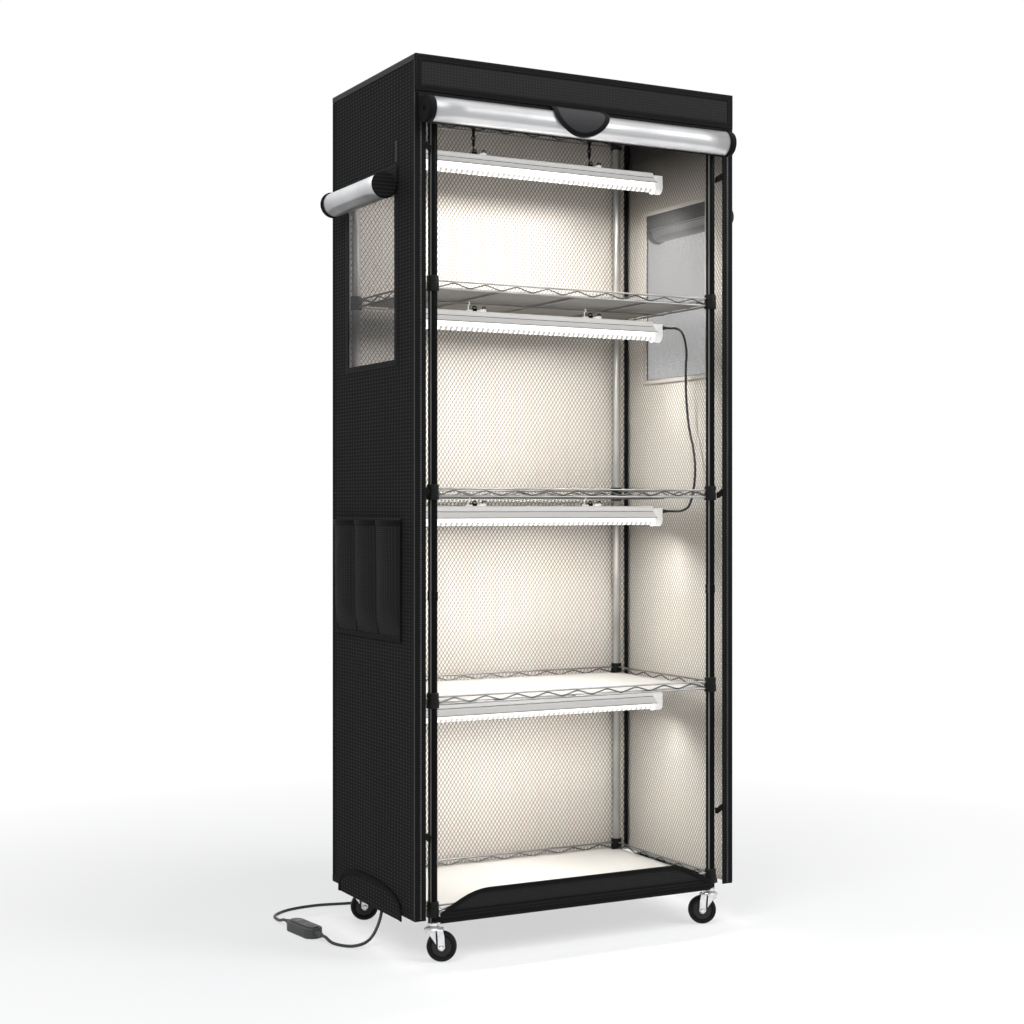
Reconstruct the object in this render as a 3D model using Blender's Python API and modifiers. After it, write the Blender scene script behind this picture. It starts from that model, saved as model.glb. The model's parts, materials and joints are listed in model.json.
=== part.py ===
"""Four-tier mini greenhouse: a wire rack on casters inside a zipped fabric cover, with grow lights.

The model is in metres, +Z up. X runs across the front, +Y points to the back, and the origin
is on the floor under the middle of the object's box.
"""
import math

import bmesh
import bpy
from mathutils import Matrix, Vector

# Sizes, in metres
CLEAR = 0.0003                 # running and seating gap between touching pieces
POLE_SIDES = 10

COVER_W = 0.640
COVER_D = 0.360
COVER_TOP = 1.516
COVER_HEM = 0.072
WALL = 0.0022
STRIP_W = 0.021
HEADER_H = 0.063
HEADER_T = 0.0012

POLE_R = 0.008
POLE_SIDE_IN = 0.039           # pole axes inside the cover's side, front and back faces
POLE_FRONT_IN = 0.0135
POLE_BACK_IN = 0.018
POLE_FOOT = 0.066
POLE_WALL = 0.0012
POLE_CAP = 0.002
STEM_DEEP = 0.028
JOINT_BAND_R = 0.0089
JOINT_BAND_H = 0.014

SHELF_LOW = 0.087              # middle of the lowest shelf's collars
SHELF_TOP_DROP = 0.029         # middle of the top shelf's collars below the cover's top
SHELF_COUNT = 5
RIM_H = 0.0160
RIM_T = 0.0032
WIRE_T = 0.0028
ZIGZAG_PITCH = 0.060
RIM_DROP = 0.001               # middle of the rims below the middle of the collars
COLLAR_H = 0.026
COLLAR_WALL = 0.0028
DECK_R = 0.0014
DECK_X = 0.152                 # side support wires from the middle one
BEAM_R = 0.0014
LINER_T = 0.0016
LINER_NOTCH = 0.018

WHEEL_R = 0.0255
WHEEL_W = 0.019
TRAIL = 0.015
AXLE_R = 0.0030
HUB_R = 0.0068
FORK_T = 0.0020
FORK_TOP = 0.0575
FORK_CROWN = 0.0045
WHEEL_SIDES = 18
HEAD_R = 0.0150
NUT_R = 0.0095
CASTER_TURN = {"front_left": -28.0, "front_right": 152.0, "rear_left": -20.0, "rear_right": 160.0}

LIGHT_SHORT = 0.020            # a light is this much shorter than the poles' spacing
LIGHT_SHIFT = -0.00875         # light axis from midway between front and rear poles
CLIPPED_DROP = 0.024           # top of a clipped light, and of the hung one, below its shelf's middle
HUNG_DROP = 0.092
LIGHT_HALF_W = 0.029
SPINE_HALF_W = 0.012
SPINE_H = 0.010
WING_DROP = 0.011
WING_T = 0.0014
TUBE_R = 0.0088
TUBE_DROP = 0.0265             # tube axis below the housing's top
TUBE_HOLDER = 0.016
SPINE_SHORT = 0.022            # spine and wings end this far inside the tube's end caps
HANGER_X = 0.121
HANGER_SHIFT = -0.005
HOOK_R = 0.0010
CLIP_L = 0.026
CLIP_W = 0.009
CLIP_H = 0.0030
EYE_R = 0.0056

DOOR_ROLL_R = 0.023
DOOR_ROLL_LEFT_IN = 0.005      # roll's ends inside the cover's side faces
DOOR_ROLL_RIGHT_IN = 0.023
DOOR_ROLL_DROP = 0.096         # roll's axis below the cover's top
ROLL_BORDER = 0.013
WINDOW_ROLL_R = 0.0245
WINDOW_ROLL_DROP = 0.029       # roll's axis below the window's top edge
WINDOW_ROLL_FRONT_IN = 0.069
WINDOW_ROLL_BACK_IN = 0.0565
WINDOW_ROLL_SKEW = 0.009       # the right roll lies this much further forward
BADGE_W = 0.111
BADGE_H = 0.060
BADGE_T = 0.0020
BADGE_X = -0.014
BADGE_OVER = 0.0025            # sewn edge above the header's lower edge

WINDOW_FRONT_IN = 0.081        # window edges inside the cover's front and back faces
WINDOW_BACK_IN = 0.073
WINDOW_TOP_DROP = 0.180
WINDOW_H = 0.325
NET_T = 0.0012
NET_FRAME = 0.006
NET_BAR = 0.0024
NET_COLUMNS = 4
NET_ROWS = 7

SILL_LOW = 0.064
SILL_TOP = 0.116
SILL_RAMP = 0.100
SILL_END_TOP = 0.080
SILL_T = 0.0016
PORT_FRONT_IN = 0.054
PORT_BACK_IN = 0.035
PORT_LOW = 0.062
PORT_TOP = 0.110
PORT_T = 0.0014
TIE_SPREAD = 0.577             # upper and lower ties from the middle one
TIE_T = 0.0016
TIE_H = 0.012

POCKET_FRONT_IN = 0.053
POCKET_BACK_IN = 0.023
POCKET_LOW = 0.533
POCKET_TOP = 0.739
POCKET_BULGE = 0.016
POCKET_T = 0.0014
POCKET_CELLS = 3

LINK_D = 0.0044
PLUG_L = 0.016
PLUG_R = 0.0046

LEAD_D = 0.0055
CASE_L = 0.095
CASE_W = 0.034
CASE_H = 0.020
CASE_STEP_H = 0.0016
CASE_STEP_IN = 0.0055
RELIEF_L = 0.020
RELIEF_R1 = 0.0062
RELIEF_R2 = 0.0042
RELIEF_RIBS = 3
BUTTON_R = 0.0043
BUTTON_H = 0.0016
BUTTON_PROUD = 0.0008
BUTTON_GAP = 0.0003
TIME_BUTTON_AT = 0.013         # along the case from its middle, towards the light
POWER_BUTTON_AT = -0.020
CASE_OUT = 0.084               # case middle beyond the cover's left face, and behind its front face
CASE_IN = 0.288
CASE_TURN = 97.0               # degrees from +X to the way the lead runs on

COIL_X = -0.140
COIL_BEHIND = 0.052            # coil middle behind the cover's back face
COIL_TURNS = 4
COIL_POINTS = 24
COIL_R_OUT = 0.0385
COIL_PITCH = 0.0061
COIL_TAIL = 0.027              # straight run from the coil's last turn to the plug
MAINS_PLUG_L = 0.034

# Places worked out from the sizes
ROLL_PROUD = HEADER_T + CLEAR + CLEAR + 2 * DOOR_ROLL_R + CLEAR + BADGE_T
FRONT = -(COVER_D - ROLL_PROUD) / 2
BACK = FRONT + COVER_D
POLE_X = COVER_W / 2 - POLE_SIDE_IN
POLE_Y = {"front": FRONT + POLE_FRONT_IN, "rear": BACK - POLE_BACK_IN}
SIDE = {"left": -1, "right": 1}
POLE_TOP = COVER_TOP - WALL - CLEAR
COLLAR_R = POLE_R + CLEAR + COLLAR_WALL
POLE_BORE = POLE_R - POLE_WALL
AXLE_Z = WHEEL_R * math.cos(math.pi / WHEEL_SIDES)    # the wheel stands on one flat of its tread
LIGHT_L = 2 * POLE_X - LIGHT_SHORT
LIGHT_AXIS_Y = (POLE_Y["front"] + POLE_Y["rear"]) / 2 + LIGHT_SHIFT
DECK_DROP = RIM_DROP + RIM_H / 2 - RIM_T / 2 - 0.0001
BEAM_DROP = DECK_DROP + 0.0023
TIER_PITCH = (COVER_TOP - SHELF_TOP_DROP - SHELF_LOW) / (SHELF_COUNT - 1)
SHELF_Z = [SHELF_LOW + TIER_PITCH * i for i in range(SHELF_COUNT)]
LIGHT_TOPS = [z - CLIPPED_DROP for z in SHELF_Z[1:-1]] + [SHELF_Z[-1] - HUNG_DROP]
TIE_HEIGHTS = [SHELF_Z[SHELF_COUNT // 2] + TIE_SPREAD * i for i in (-1, 0, 1)]
HEADER_LOW = COVER_TOP - HEADER_H
DOOR_ROLL_Z = COVER_TOP - DOOR_ROLL_DROP
BADGE_TOP = HEADER_LOW + BADGE_OVER
WINDOW_HIGH = COVER_TOP - WINDOW_TOP_DROP
WINDOW_LOW = WINDOW_HIGH - WINDOW_H
WINDOW_ROLL_Z = WINDOW_HIGH - WINDOW_ROLL_DROP

for old in list(bpy.data.objects):
    bpy.data.objects.remove(old, do_unlink=True)
parts = bpy.data.collections.new("mini_greenhouse")
cutters = bpy.data.collections.new("cutters")
bpy.context.scene.collection.children.link(parts)
bpy.context.scene.collection.children.link(cutters)


def material(name, colour, roughness, metallic=0.0):
    mat = bpy.data.materials.new(name)
    mat.use_nodes = True
    shader = mat.node_tree.nodes["Principled BSDF"]
    shader.inputs["Base Color"].default_value = (*colour, 1.0)
    shader.inputs["Roughness"].default_value = roughness
    shader.inputs["Metallic"].default_value = metallic
    return mat


OXFORD = material("black_oxford", (0.018, 0.018, 0.020), 0.7)
FILM = material("reflective_film", (0.62, 0.62, 0.64), 0.3, 0.8)
STEEL = material("black_steel", (0.02, 0.02, 0.022), 0.35, 0.6)
CHROME = material("chrome", (0.62, 0.62, 0.64), 0.25, 1.0)
SHEET = material("liner_sheet", (0.72, 0.72, 0.72), 0.4)
WHITE = material("white_enamel", (0.82, 0.82, 0.82), 0.3)
CLEAR_TUBE = material("clear_tube", (0.88, 0.90, 0.92), 0.1)
RUBBER = material("black_rubber", (0.02, 0.02, 0.02), 0.6)
NETTING = material("netting", (0.30, 0.31, 0.33), 0.6)
CASE = material("controller_case", (0.035, 0.035, 0.037), 0.45)


def link(obj, mat, collection=parts):
    collection.objects.link(obj)
    if mat is not None:
        obj.data.materials.clear()
        obj.data.materials.append(mat)
    return obj


def mesh_object(name, bm, mat=None, collection=parts):
    mesh = bpy.data.meshes.new(name)
    bmesh.ops.recalc_face_normals(bm, faces=bm.faces)
    bm.to_mesh(mesh)
    bm.free()
    return link(bpy.data.objects.new(name, mesh), mat, collection)


def smooth(obj, angle=35):
    obj.data.shade_smooth()
    obj.data.set_sharp_from_angle(angle=math.radians(angle))
    return obj


def box(name, low, high, mat=None, collection=parts, bevel=0.0):
    """A box between two corners."""
    bm = bmesh.new()
    bmesh.ops.create_cube(bm, size=1.0)
    size = [b - a for a, b in zip(low, high)]
    middle = [(a + b) / 2 for a, b in zip(low, high)]
    bmesh.ops.transform(bm, matrix=Matrix.Translation(middle) @ Matrix.Diagonal((*size, 1)), verts=bm.verts)
    if bevel:
        bmesh.ops.bevel(bm, geom=bm.edges[:], offset=bevel, segments=1, profile=0.5, affect="EDGES")
    return mesh_object(name, bm, mat, collection)


def cylinder(name, radius, low, high, axis="Z", sides=24, mat=None, collection=parts):
    """A cylinder between two points that differ along one axis."""
    bm = bmesh.new()
    start, end = Vector(low), Vector(high)
    bmesh.ops.create_cone(bm, cap_ends=True, segments=sides, radius1=radius, radius2=radius,
                          depth=(end - start).length)
    turn = {"X": Matrix.Rotation(math.pi / 2, 4, "Y"), "Y": Matrix.Rotation(-math.pi / 2, 4, "X"),
            "Z": Matrix.Identity(4)}[axis]
    bmesh.ops.transform(bm, matrix=Matrix.Translation((start + end) / 2) @ turn, verts=bm.verts)
    return mesh_object(name, bm, mat, collection)


def evaluated_mesh(obj):
    graph = bpy.context.evaluated_depsgraph_get()
    graph.update()
    return bpy.data.meshes.new_from_object(obj.evaluated_get(graph))


def to_mesh(obj, collection=None, mat=None, even=False, merge=False):
    """Replace a curve or a modified object by its finished mesh, with its place in the mesh.

    even turns the edges of a flat filling's needle-thin triangles, and merge joins the flat
    faces that a Boolean leaves split.
    """
    bpy.context.view_layer.update()
    mesh = evaluated_mesh(obj)
    mesh.transform(obj.matrix_world)
    bm = bmesh.new()
    bm.from_mesh(mesh)
    bmesh.ops.remove_doubles(bm, verts=bm.verts, dist=1e-6)
    if even:
        flat = [e for e in bm.edges if e.is_manifold and e.calc_face_angle() < 1e-4]
        bmesh.ops.beautify_fill(bm, faces=bm.faces[:], edges=flat, method="ANGLE")
    if merge:
        bmesh.ops.dissolve_limit(bm, angle_limit=math.radians(0.05), verts=bm.verts, edges=bm.edges)
    bm.to_mesh(mesh)
    bm.free()
    name = obj.name
    home = collection or obj.users_collection[0]
    bpy.data.objects.remove(obj, do_unlink=True)
    done = bpy.data.objects.new(name, mesh)
    mesh.name = name
    return link(done, mat, home)


def outline(name, rings, thickness, plane, at, mat=None, collection=parts):
    """A flat plate: the first ring is its edge, the others are holes.

    plane XY, XZ or YZ says which axes the ring's points run along, and at is the
    plate's middle along the third axis.
    """
    curve = bpy.data.curves.new(name, "CURVE")
    curve.dimensions = "2D"
    curve.fill_mode = "BOTH"
    curve.extrude = thickness / 2
    for ring in rings:
        spline = curve.splines.new("POLY")
        spline.points.add(len(ring) - 1)
        for point, (u, v) in zip(spline.points, ring):
            point.co = (u, v, 0, 1)
        spline.use_cyclic_u = True
    obj = bpy.data.objects.new(name, curve)
    place = {"XY": Matrix.Translation((0, 0, at)),
             "XZ": Matrix.Translation((0, at, 0)) @ Matrix.Rotation(math.pi / 2, 4, "X"),
             "YZ": Matrix.Translation((at, 0, 0)) @ Matrix(((0, 0, 1, 0), (1, 0, 0, 0), (0, 1, 0, 0), (0, 0, 0, 1)))}
    obj.matrix_world = place[plane]
    link(obj, mat, collection)
    return to_mesh(obj, collection, mat, even=True)


def spun(name, profile, axis="Z", at=(0, 0, 0), steps=24, mat=None, collection=parts, closed=False, turned=0.0):
    """A turned shape: profile points are (radius, distance along the axis), turned is in degrees."""
    bm = bmesh.new()
    verts = [bm.verts.new((r, 0, z)) for r, z in profile]
    for a, b in zip(verts, verts[1:]):
        bm.edges.new((a, b))
    if closed:
        bm.edges.new((verts[-1], verts[0]))
    mesh = bpy.data.meshes.new(name)
    bm.to_mesh(mesh)
    bm.free()
    obj = link(bpy.data.objects.new(name, mesh), mat, collection)
    screw = obj.modifiers.new("turn", "SCREW")
    screw.axis = "Z"
    screw.steps = steps
    screw.render_steps = steps
    screw.use_merge_vertices = True
    screw.merge_threshold = 1e-6
    screw.use_smooth_shade = True
    turn = {"X": Matrix.Rotation(math.pi / 2, 4, "Y"), "Y": Matrix.Rotation(-math.pi / 2, 4, "X"),
            "Z": Matrix.Identity(4)}[axis]
    obj.matrix_world = Matrix.Translation(at) @ turn @ Matrix.Rotation(math.radians(turned), 4, "Z")
    done = to_mesh(obj, collection, mat)
    bm = bmesh.new()
    bm.from_mesh(done.data)
    bmesh.ops.recalc_face_normals(bm, faces=bm.faces)
    bm.to_mesh(done.data)
    bm.free()
    return smooth(done)


def tube(name, points, radius, resolution=2, mat=None, collection=parts):
    """A round wire, rail or cord through a list of points."""
    curve = bpy.data.curves.new(name, "CURVE")
    curve.dimensions = "3D"
    curve.bevel_depth = radius
    curve.bevel_resolution = resolution
    curve.use_fill_caps = True
    spline = curve.splines.new("POLY")
    spline.points.add(len(points) - 1)
    for point, co in zip(spline.points, points):
        point.co = (*co, 1)
    obj = link(bpy.data.objects.new(name, curve), mat, collection)
    return to_mesh(obj, collection, mat)


def boolean(target, tools, operation):
    """Cut, keep or join a mesh with others, which are then removed."""
    for tool in tools:
        modifier = target.modifiers.new(operation.lower(), "BOOLEAN")
        modifier.operation = operation
        modifier.solver = "EXACT"
        modifier.object = tool
    mat = target.data.materials[0] if target.data.materials else None
    done = to_mesh(target, mat=mat, merge=True)
    for tool in tools:
        bpy.data.objects.remove(tool, do_unlink=True)
    for polygon in done.data.polygons:
        polygon.material_index = 0
    return done


def fuse(target, *tools):
    return boolean(target, tools, "UNION")


def cut(target, *tools):
    return boolean(target, tools, "DIFFERENCE")


def place_copy(source, name, matrix, mat):
    """A repeated piece: its own object on the shared mesh."""
    copy = bpy.data.objects.new(name, source.data)
    copy.matrix_world = matrix
    parts.objects.link(copy)
    if not copy.data.materials:
        copy.data.materials.append(mat)
    return copy


def carry(name, at, *pieces):
    """An empty on a joint's axis, parent of the pieces that turn or slide there."""
    pivot = bpy.data.objects.new(name, None)
    parts.objects.link(pivot)
    pivot.location = at
    for piece in pieces:
        piece.parent = pivot
        piece.matrix_parent_inverse = Matrix.Translation(at).inverted()


def arc(centre, radius, start, end, count):
    """Points on an arc, angles in degrees."""
    return [(centre[0] + radius * math.cos(math.radians(start + (end - start) * i / count)),
             centre[1] + radius * math.sin(math.radians(start + (end - start) * i / count)))
            for i in range(count + 1)]


def smooth_route(points, step):
    """Evenly spaced points on a smooth curve through the route's own points."""
    route = [Vector(p) for p in points]
    ends = [route[0] * 2 - route[1]] + route + [route[-1] * 2 - route[-2]]
    fine = []
    for i in range(1, len(ends) - 2):
        p0, p1, p2, p3 = ends[i - 1:i + 3]
        for k in range(24):
            t = k / 24
            fine.append(0.5 * (2 * p1 + (p2 - p0) * t + (2 * p0 - 5 * p1 + 4 * p2 - p3) * t * t
                               + (3 * p1 - p0 - 3 * p2 + p3) * t ** 3))
    fine.append(route[-1])
    lengths = [0.0]
    for a, b in zip(fine, fine[1:]):
        lengths.append(lengths[-1] + (b - a).length)
    count = max(2, round(lengths[-1] / step))
    even = []
    seat = 0
    for i in range(count + 1):
        want = lengths[-1] * i / count
        while seat < len(lengths) - 2 and lengths[seat + 1] < want:
            seat += 1
        span = lengths[seat + 1] - lengths[seat]
        even.append(fine[seat].lerp(fine[seat + 1], (want - lengths[seat]) / span if span else 0))
    return even


def cord(name, points, diameter, resolution=2):
    """A cord along a smooth route, its two ends straight and square to what they meet."""
    route = [Vector(p) for p in points]
    head = route[0] + (route[1] - route[0]).normalized() * diameter
    tail = route[-1] + (route[-2] - route[-1]).normalized() * diameter
    path = [route[0]] + smooth_route([head] + route[1:-1] + [tail], 3 * diameter) + [route[-1]]
    return tube(name, path, diameter / 2, resolution, mat=RUBBER)


def poles():
    """Four tube posts, closed on top, each with its screwed joint's band; the caster's stem plugs the foot."""
    joint_z = (SHELF_Z[1] + SHELF_Z[2]) / 2
    for row, y in POLE_Y.items():
        for side, sign in SIDE.items():
            profile = [(0, POLE_TOP), (POLE_R, POLE_TOP), (POLE_R, joint_z + JOINT_BAND_H / 2 + 0.001),
                       (JOINT_BAND_R, joint_z + JOINT_BAND_H / 2), (JOINT_BAND_R, joint_z - JOINT_BAND_H / 2),
                       (POLE_R, joint_z - JOINT_BAND_H / 2 - 0.001)]
            profile += [(POLE_R, POLE_FOOT), (POLE_BORE, POLE_FOOT), (POLE_BORE, POLE_TOP - POLE_CAP),
                        (0, POLE_TOP - POLE_CAP)]
            spun(f"pole_{row}_{side}", profile, at=(sign * POLE_X, y, 0), steps=POLE_SIDES, mat=STEEL,
                 turned=180 / POLE_SIDES)


def truss(name, length, plane, at, middle, z):
    """A shelf rim: two wires with a zigzag between them, as one flat cut plate."""
    half = length / 2
    low, high = z - RIM_H / 2, z + RIM_H / 2
    skew = 0.00003             # keeps the holes' corners off one line, where a filling leaves slivers
    rings = [[(middle - half, low), (middle + half, low), (middle + half, high), (middle - half, high)]]
    bays = round(length / ZIGZAG_PITCH)
    pitch = length / bays
    clear_low, clear_high = low + RIM_T, high - RIM_T
    slant = WIRE_T / 2 * math.hypot(pitch / 2, clear_high - clear_low) / (clear_high - clear_low)
    for i in range(bays):
        left = middle - half + pitch * i
        top = left + pitch / 2
        rings.append([(left + slant, clear_low), (left + pitch - slant, clear_low + skew),
                      (top, clear_high - WIRE_T / 2)])
        if i:
            rings.append([(left - pitch / 2 + slant, clear_high - skew * (i % 2)), (left, clear_low + WIRE_T / 2),
                          (left + pitch / 2 - slant, clear_high - skew * 2)])
    return outline(name, rings, RIM_T, plane, at, collection=cutters)


def shelf_mesh():
    """One wire shelf about its collars' middle height: truss rims, support wires and collars."""
    rim_z = -RIM_DROP
    reach = POLE_R + CLEAR + COLLAR_WALL / 2
    front, rear = POLE_Y["front"], POLE_Y["rear"]
    middle_y = (front + rear) / 2
    shelf = truss("shelf", 2 * (POLE_X - reach), "XZ", front, 0, rim_z)
    tools = [truss("rim_rear", 2 * (POLE_X - reach), "XZ", rear, 0, rim_z)]
    for side, sign in SIDE.items():
        tools.append(truss("rim_" + side, rear - front - 2 * reach, "YZ", sign * POLE_X, middle_y, rim_z))
    for y in (front, rear):
        for sign in SIDE.values():
            half = COLLAR_H / 2
            bore = POLE_R + CLEAR
            tools.append(spun("collar", [(COLLAR_R - 0.0008, half), (COLLAR_R, -half), (bore, -half), (bore, half)],
                              at=(sign * POLE_X, y, 0), steps=POLE_SIDES, collection=cutters, closed=True,
                              turned=180 / POLE_SIDES))
    for x in (-DECK_X, 0, DECK_X):
        tools.append(tube("deck_wire", [(x, front + RIM_T / 4, -DECK_DROP), (x, rear - RIM_T / 4, -DECK_DROP)], DECK_R, 0,
                          collection=cutters))
    beam_z = -BEAM_DROP
    tools.append(tube("beam", [(-POLE_X + RIM_T / 4, LIGHT_AXIS_Y, beam_z), (POLE_X - RIM_T / 4, LIGHT_AXIS_Y, beam_z)],
                      BEAM_R, 0, collection=cutters))
    return fuse(shelf, *tools)


def shelves():
    master = shelf_mesh()
    for i, z in enumerate(SHELF_Z):
        name = "shelf_top" if i == SHELF_COUNT - 1 else f"shelf_{i + 1}"
        place_copy(master, name, Matrix.Translation((0, 0, z)), CHROME)
    bpy.data.objects.remove(master, do_unlink=True)


def liners():
    """A flat sheet lies on each planting shelf's wires, notched round the collars."""
    x = POLE_X - RIM_T / 2 - 0.002
    front, rear = POLE_Y["front"] + RIM_T / 2 + 0.002, POLE_Y["rear"] - RIM_T / 2 - 0.002
    n = LINER_NOTCH
    ring = [(-x + n, front), (x - n, front), (x - n, front + n), (x, front + n), (x, rear - n), (x - n, rear - n),
            (x - n, rear), (-x + n, rear), (-x + n, rear - n), (-x, rear - n), (-x, front + n), (-x + n, front + n)]
    wire_top = DECK_R - DECK_DROP
    for i, z in enumerate(SHELF_Z[:-1]):
        outline(f"liner_{i + 1}", [ring], LINER_T, "XY", z + wire_top + CLEAR + LINER_T / 2, mat=SHEET)


def caster_stem_profile():
    """Stem in its sleeve inside the pole, and the nut under the pole that the fork turns against."""
    stem_top, nut_top, stem_r = POLE_FOOT + STEM_DEEP, POLE_FOOT - CLEAR, POLE_BORE - CLEAR
    return [(0, stem_top), (stem_r, stem_top), (stem_r, nut_top), (NUT_R, nut_top), (NUT_R, FORK_TOP + CLEAR),
            (0, FORK_TOP + CLEAR)]


def fork_mesh():
    """A caster's fork about its swivel axis, wheel trailing to +X: crown, two legs and the axle."""
    gap = WHEEL_W / 2 + 0.0012
    crown_low = FORK_TOP - FORK_CROWN
    fork = spun("fork", [(0, FORK_TOP), (HEAD_R - 0.003, FORK_TOP), (HEAD_R, FORK_TOP - 0.0020), (HEAD_R, crown_low),
                         (0, crown_low)], steps=10, collection=cutters)
    boss = 0.0064
    legs = []
    for sign in (-1, 1):
        ring = [(-0.0100, crown_low + 0.002), (-0.0085, crown_low - 0.004)]
        ring += [(x, z) for x, z in arc((TRAIL, AXLE_Z), boss, 200, 395, 5)]
        ring += [(0.0120, crown_low - 0.003), (0.0105, crown_low + 0.002)]
        legs.append(outline("leg", [ring], FORK_T, "XZ", sign * (gap + FORK_T / 2), collection=cutters))
    reach = gap + FORK_T + 0.0014
    axle = cylinder("axle", AXLE_R, (TRAIL, -reach, AXLE_Z), (TRAIL, reach, AXLE_Z), axis="Y", sides=8,
                    collection=cutters)
    return smooth(fuse(fork, *legs, axle), 30)


def wheel_profile():
    """Half section of the wheel: tread, side wall, recessed web and hub with its bore."""
    half = WHEEL_W / 2
    bore = AXLE_R + CLEAR
    return [(WHEEL_R, half - 0.0050), (WHEEL_R, -half + 0.0050), (WHEEL_R - 0.0030, -half + 0.0010),
            (WHEEL_R - 0.0080, -half + 0.0040), (HUB_R, -half), (bore, -half), (bore, half), (HUB_R, half),
            (WHEEL_R - 0.0080, half - 0.0040), (WHEEL_R - 0.0030, half - 0.0010)]


def casters():
    """Four swivel casters; each wheel trails the swivel axis under its pole."""
    fork = fork_mesh()
    wheel = spun("wheel", wheel_profile(), axis="Y", steps=WHEEL_SIDES, collection=cutters, closed=True)
    for row, y in POLE_Y.items():
        for side, sign in SIDE.items():
            corner = f"{row}_{side}"
            foot = Vector((sign * POLE_X, y, 0))
            spun(f"caster_stem_{corner}", caster_stem_profile(), at=foot, steps=POLE_SIDES, mat=CHROME,
                 turned=180 / POLE_SIDES)
            pivot = bpy.data.objects.new(f"swivel_{corner}", None)
            parts.objects.link(pivot)
            pivot.matrix_world = Matrix.Translation(foot) @ Matrix.Rotation(
                math.radians(CASTER_TURN[corner]), 4, "Z")
            place_copy(fork, f"caster_fork_{corner}", pivot.matrix_world, CHROME)
            hub = Matrix.Translation((TRAIL, 0, AXLE_Z))
            place_copy(wheel, f"caster_wheel_{corner}", pivot.matrix_world @ hub, RUBBER)
    bpy.data.objects.remove(fork, do_unlink=True)
    bpy.data.objects.remove(wheel, do_unlink=True)


def housing_ring(y, top):
    """Cross-section of a light's housing: a flat spine with two sloping wings, as one bent sheet."""
    outer = [(-LIGHT_HALF_W, top - SPINE_H - WING_DROP), (-SPINE_HALF_W - 0.002, top - SPINE_H),
             (-SPINE_HALF_W, top - 0.002), (-SPINE_HALF_W + 0.002, top)]
    inner = [(-LIGHT_HALF_W + WING_T * 0.6, top - SPINE_H - WING_DROP - WING_T * 0.6),
             (-SPINE_HALF_W, top - SPINE_H - WING_T * 1.4)]
    ring = [(y + u, v) for u, v in outer] + [(y - u, v) for u, v in reversed(outer)]
    ring += [(y - u, v) for u, v in inner] + [(y + u, v) for u, v in reversed(inner)]
    return ring


def clip_and_hook(x, top, beam_z):
    """The bracket on a light's spine and its wire hook over the shelf's beam."""
    y = LIGHT_AXIS_Y
    bracket = box("clip", (x - CLIP_L / 2, y - CLIP_W / 2, top - 0.001), (x + CLIP_L / 2, y + CLIP_W / 2, top + CLIP_H),
                  collection=cutters)
    turn = BEAM_R + CLEAR + HOOK_R
    hook_x = x - CLIP_L / 2 + 0.004
    path = [(hook_x, y + turn, top + CLIP_H - 0.001)]
    path += [(hook_x, u, v) for u, v in arc((y, beam_z), turn, 0, 180, 6)]
    path.append((hook_x, y - turn, beam_z - 0.003))
    return bracket, tube("hook", path, HOOK_R, 0, collection=cutters)


def hanger(name, x, eye_z, beam_z):
    """The top light's hanger: one wire from a hook over the beam to a hook through the light's eye."""
    y = LIGHT_AXIS_Y
    turn = BEAM_R + CLEAR + HOOK_R
    low_turn = 2 * HOOK_R + CLEAR
    path = [(x, u, v) for u, v in arc((y, beam_z), turn, 200, 0, 6)]
    path += [(x, y + turn * 0.8, beam_z - 0.005), (x, y, beam_z - 0.011), (x, y, eye_z + 0.012)]
    path += [(x, y - low_turn * 0.8, eye_z + 0.006)]
    path += [(x, u, v) for u, v in arc((y, eye_z), low_turn, 180, 340, 5)]
    return tube(name, path, HOOK_R, 0, mat=CHROME)


def lights():
    """Four strip lights: winged reflector housings with a clear tube under each."""
    half = LIGHT_L / 2
    for i, top in enumerate(LIGHT_TOPS):
        number = i + 1
        beam_z = SHELF_Z[i + 1] - BEAM_DROP
        tube_z = top - TUBE_DROP
        y = LIGHT_AXIS_Y
        housing = outline(f"light_{number}_housing", [housing_ring(y, top)], LIGHT_L - 2 * SPINE_SHORT, "YZ", 0,
                          mat=WHITE)
        tools = []
        for sign in SIDE.values():
            a, b = sorted((sign * half, sign * (half - TUBE_HOLDER)))
            ring = [(y - 0.011, top - 0.004), (y - 0.0115, tube_z), *arc((y, tube_z), 0.0115, 180, 360, 6)[1:],
                    (y + 0.011, top - 0.004)]
            tools.append(outline("holder", [ring], b - a, "YZ", (a + b) / 2, collection=cutters))
            a, b = sorted((sign * (half - TUBE_HOLDER + 0.002), sign * (half - SPINE_SHORT - 0.004)))
            tools.append(box("neck", (a, y - 0.0105, top - 0.0170), (b, y + 0.0105, top - 0.0042), collection=cutters))
        for side in SIDE.values():
            x = HANGER_SHIFT + side * HANGER_X
            if i < SHELF_COUNT - 2:
                tools += clip_and_hook(x, top, beam_z)
            else:
                eye = [(x + u, y, top - 0.001 + v) for u, v in arc((0, 0), EYE_R, 0, 180, 6)]
                tools.append(tube("eye", eye, HOOK_R, 1, collection=cutters))
        fuse(housing, *tools)
        reach = half - TUBE_HOLDER - CLEAR
        ring = [(y + u, tube_z + v) for u, v in arc((0, 0), TUBE_R, 0, 360, 14)[:-1]]
        outline(f"light_{number}_tube", [ring], 2 * reach, "YZ", 0, mat=CLEAR_TUBE)
    beam_z = SHELF_Z[-1] - BEAM_DROP
    hung = [bpy.data.objects["light_4_housing"], bpy.data.objects["light_4_tube"]]
    for side, sign in SIDE.items():
        hung.append(hanger(f"light_4_hanger_{side}", HANGER_SHIFT + sign * HANGER_X,
                           LIGHT_TOPS[-1] - 0.001 + EYE_R, beam_z))
    carry("light_swing", (0, LIGHT_AXIS_Y, beam_z), *hung)


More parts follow.
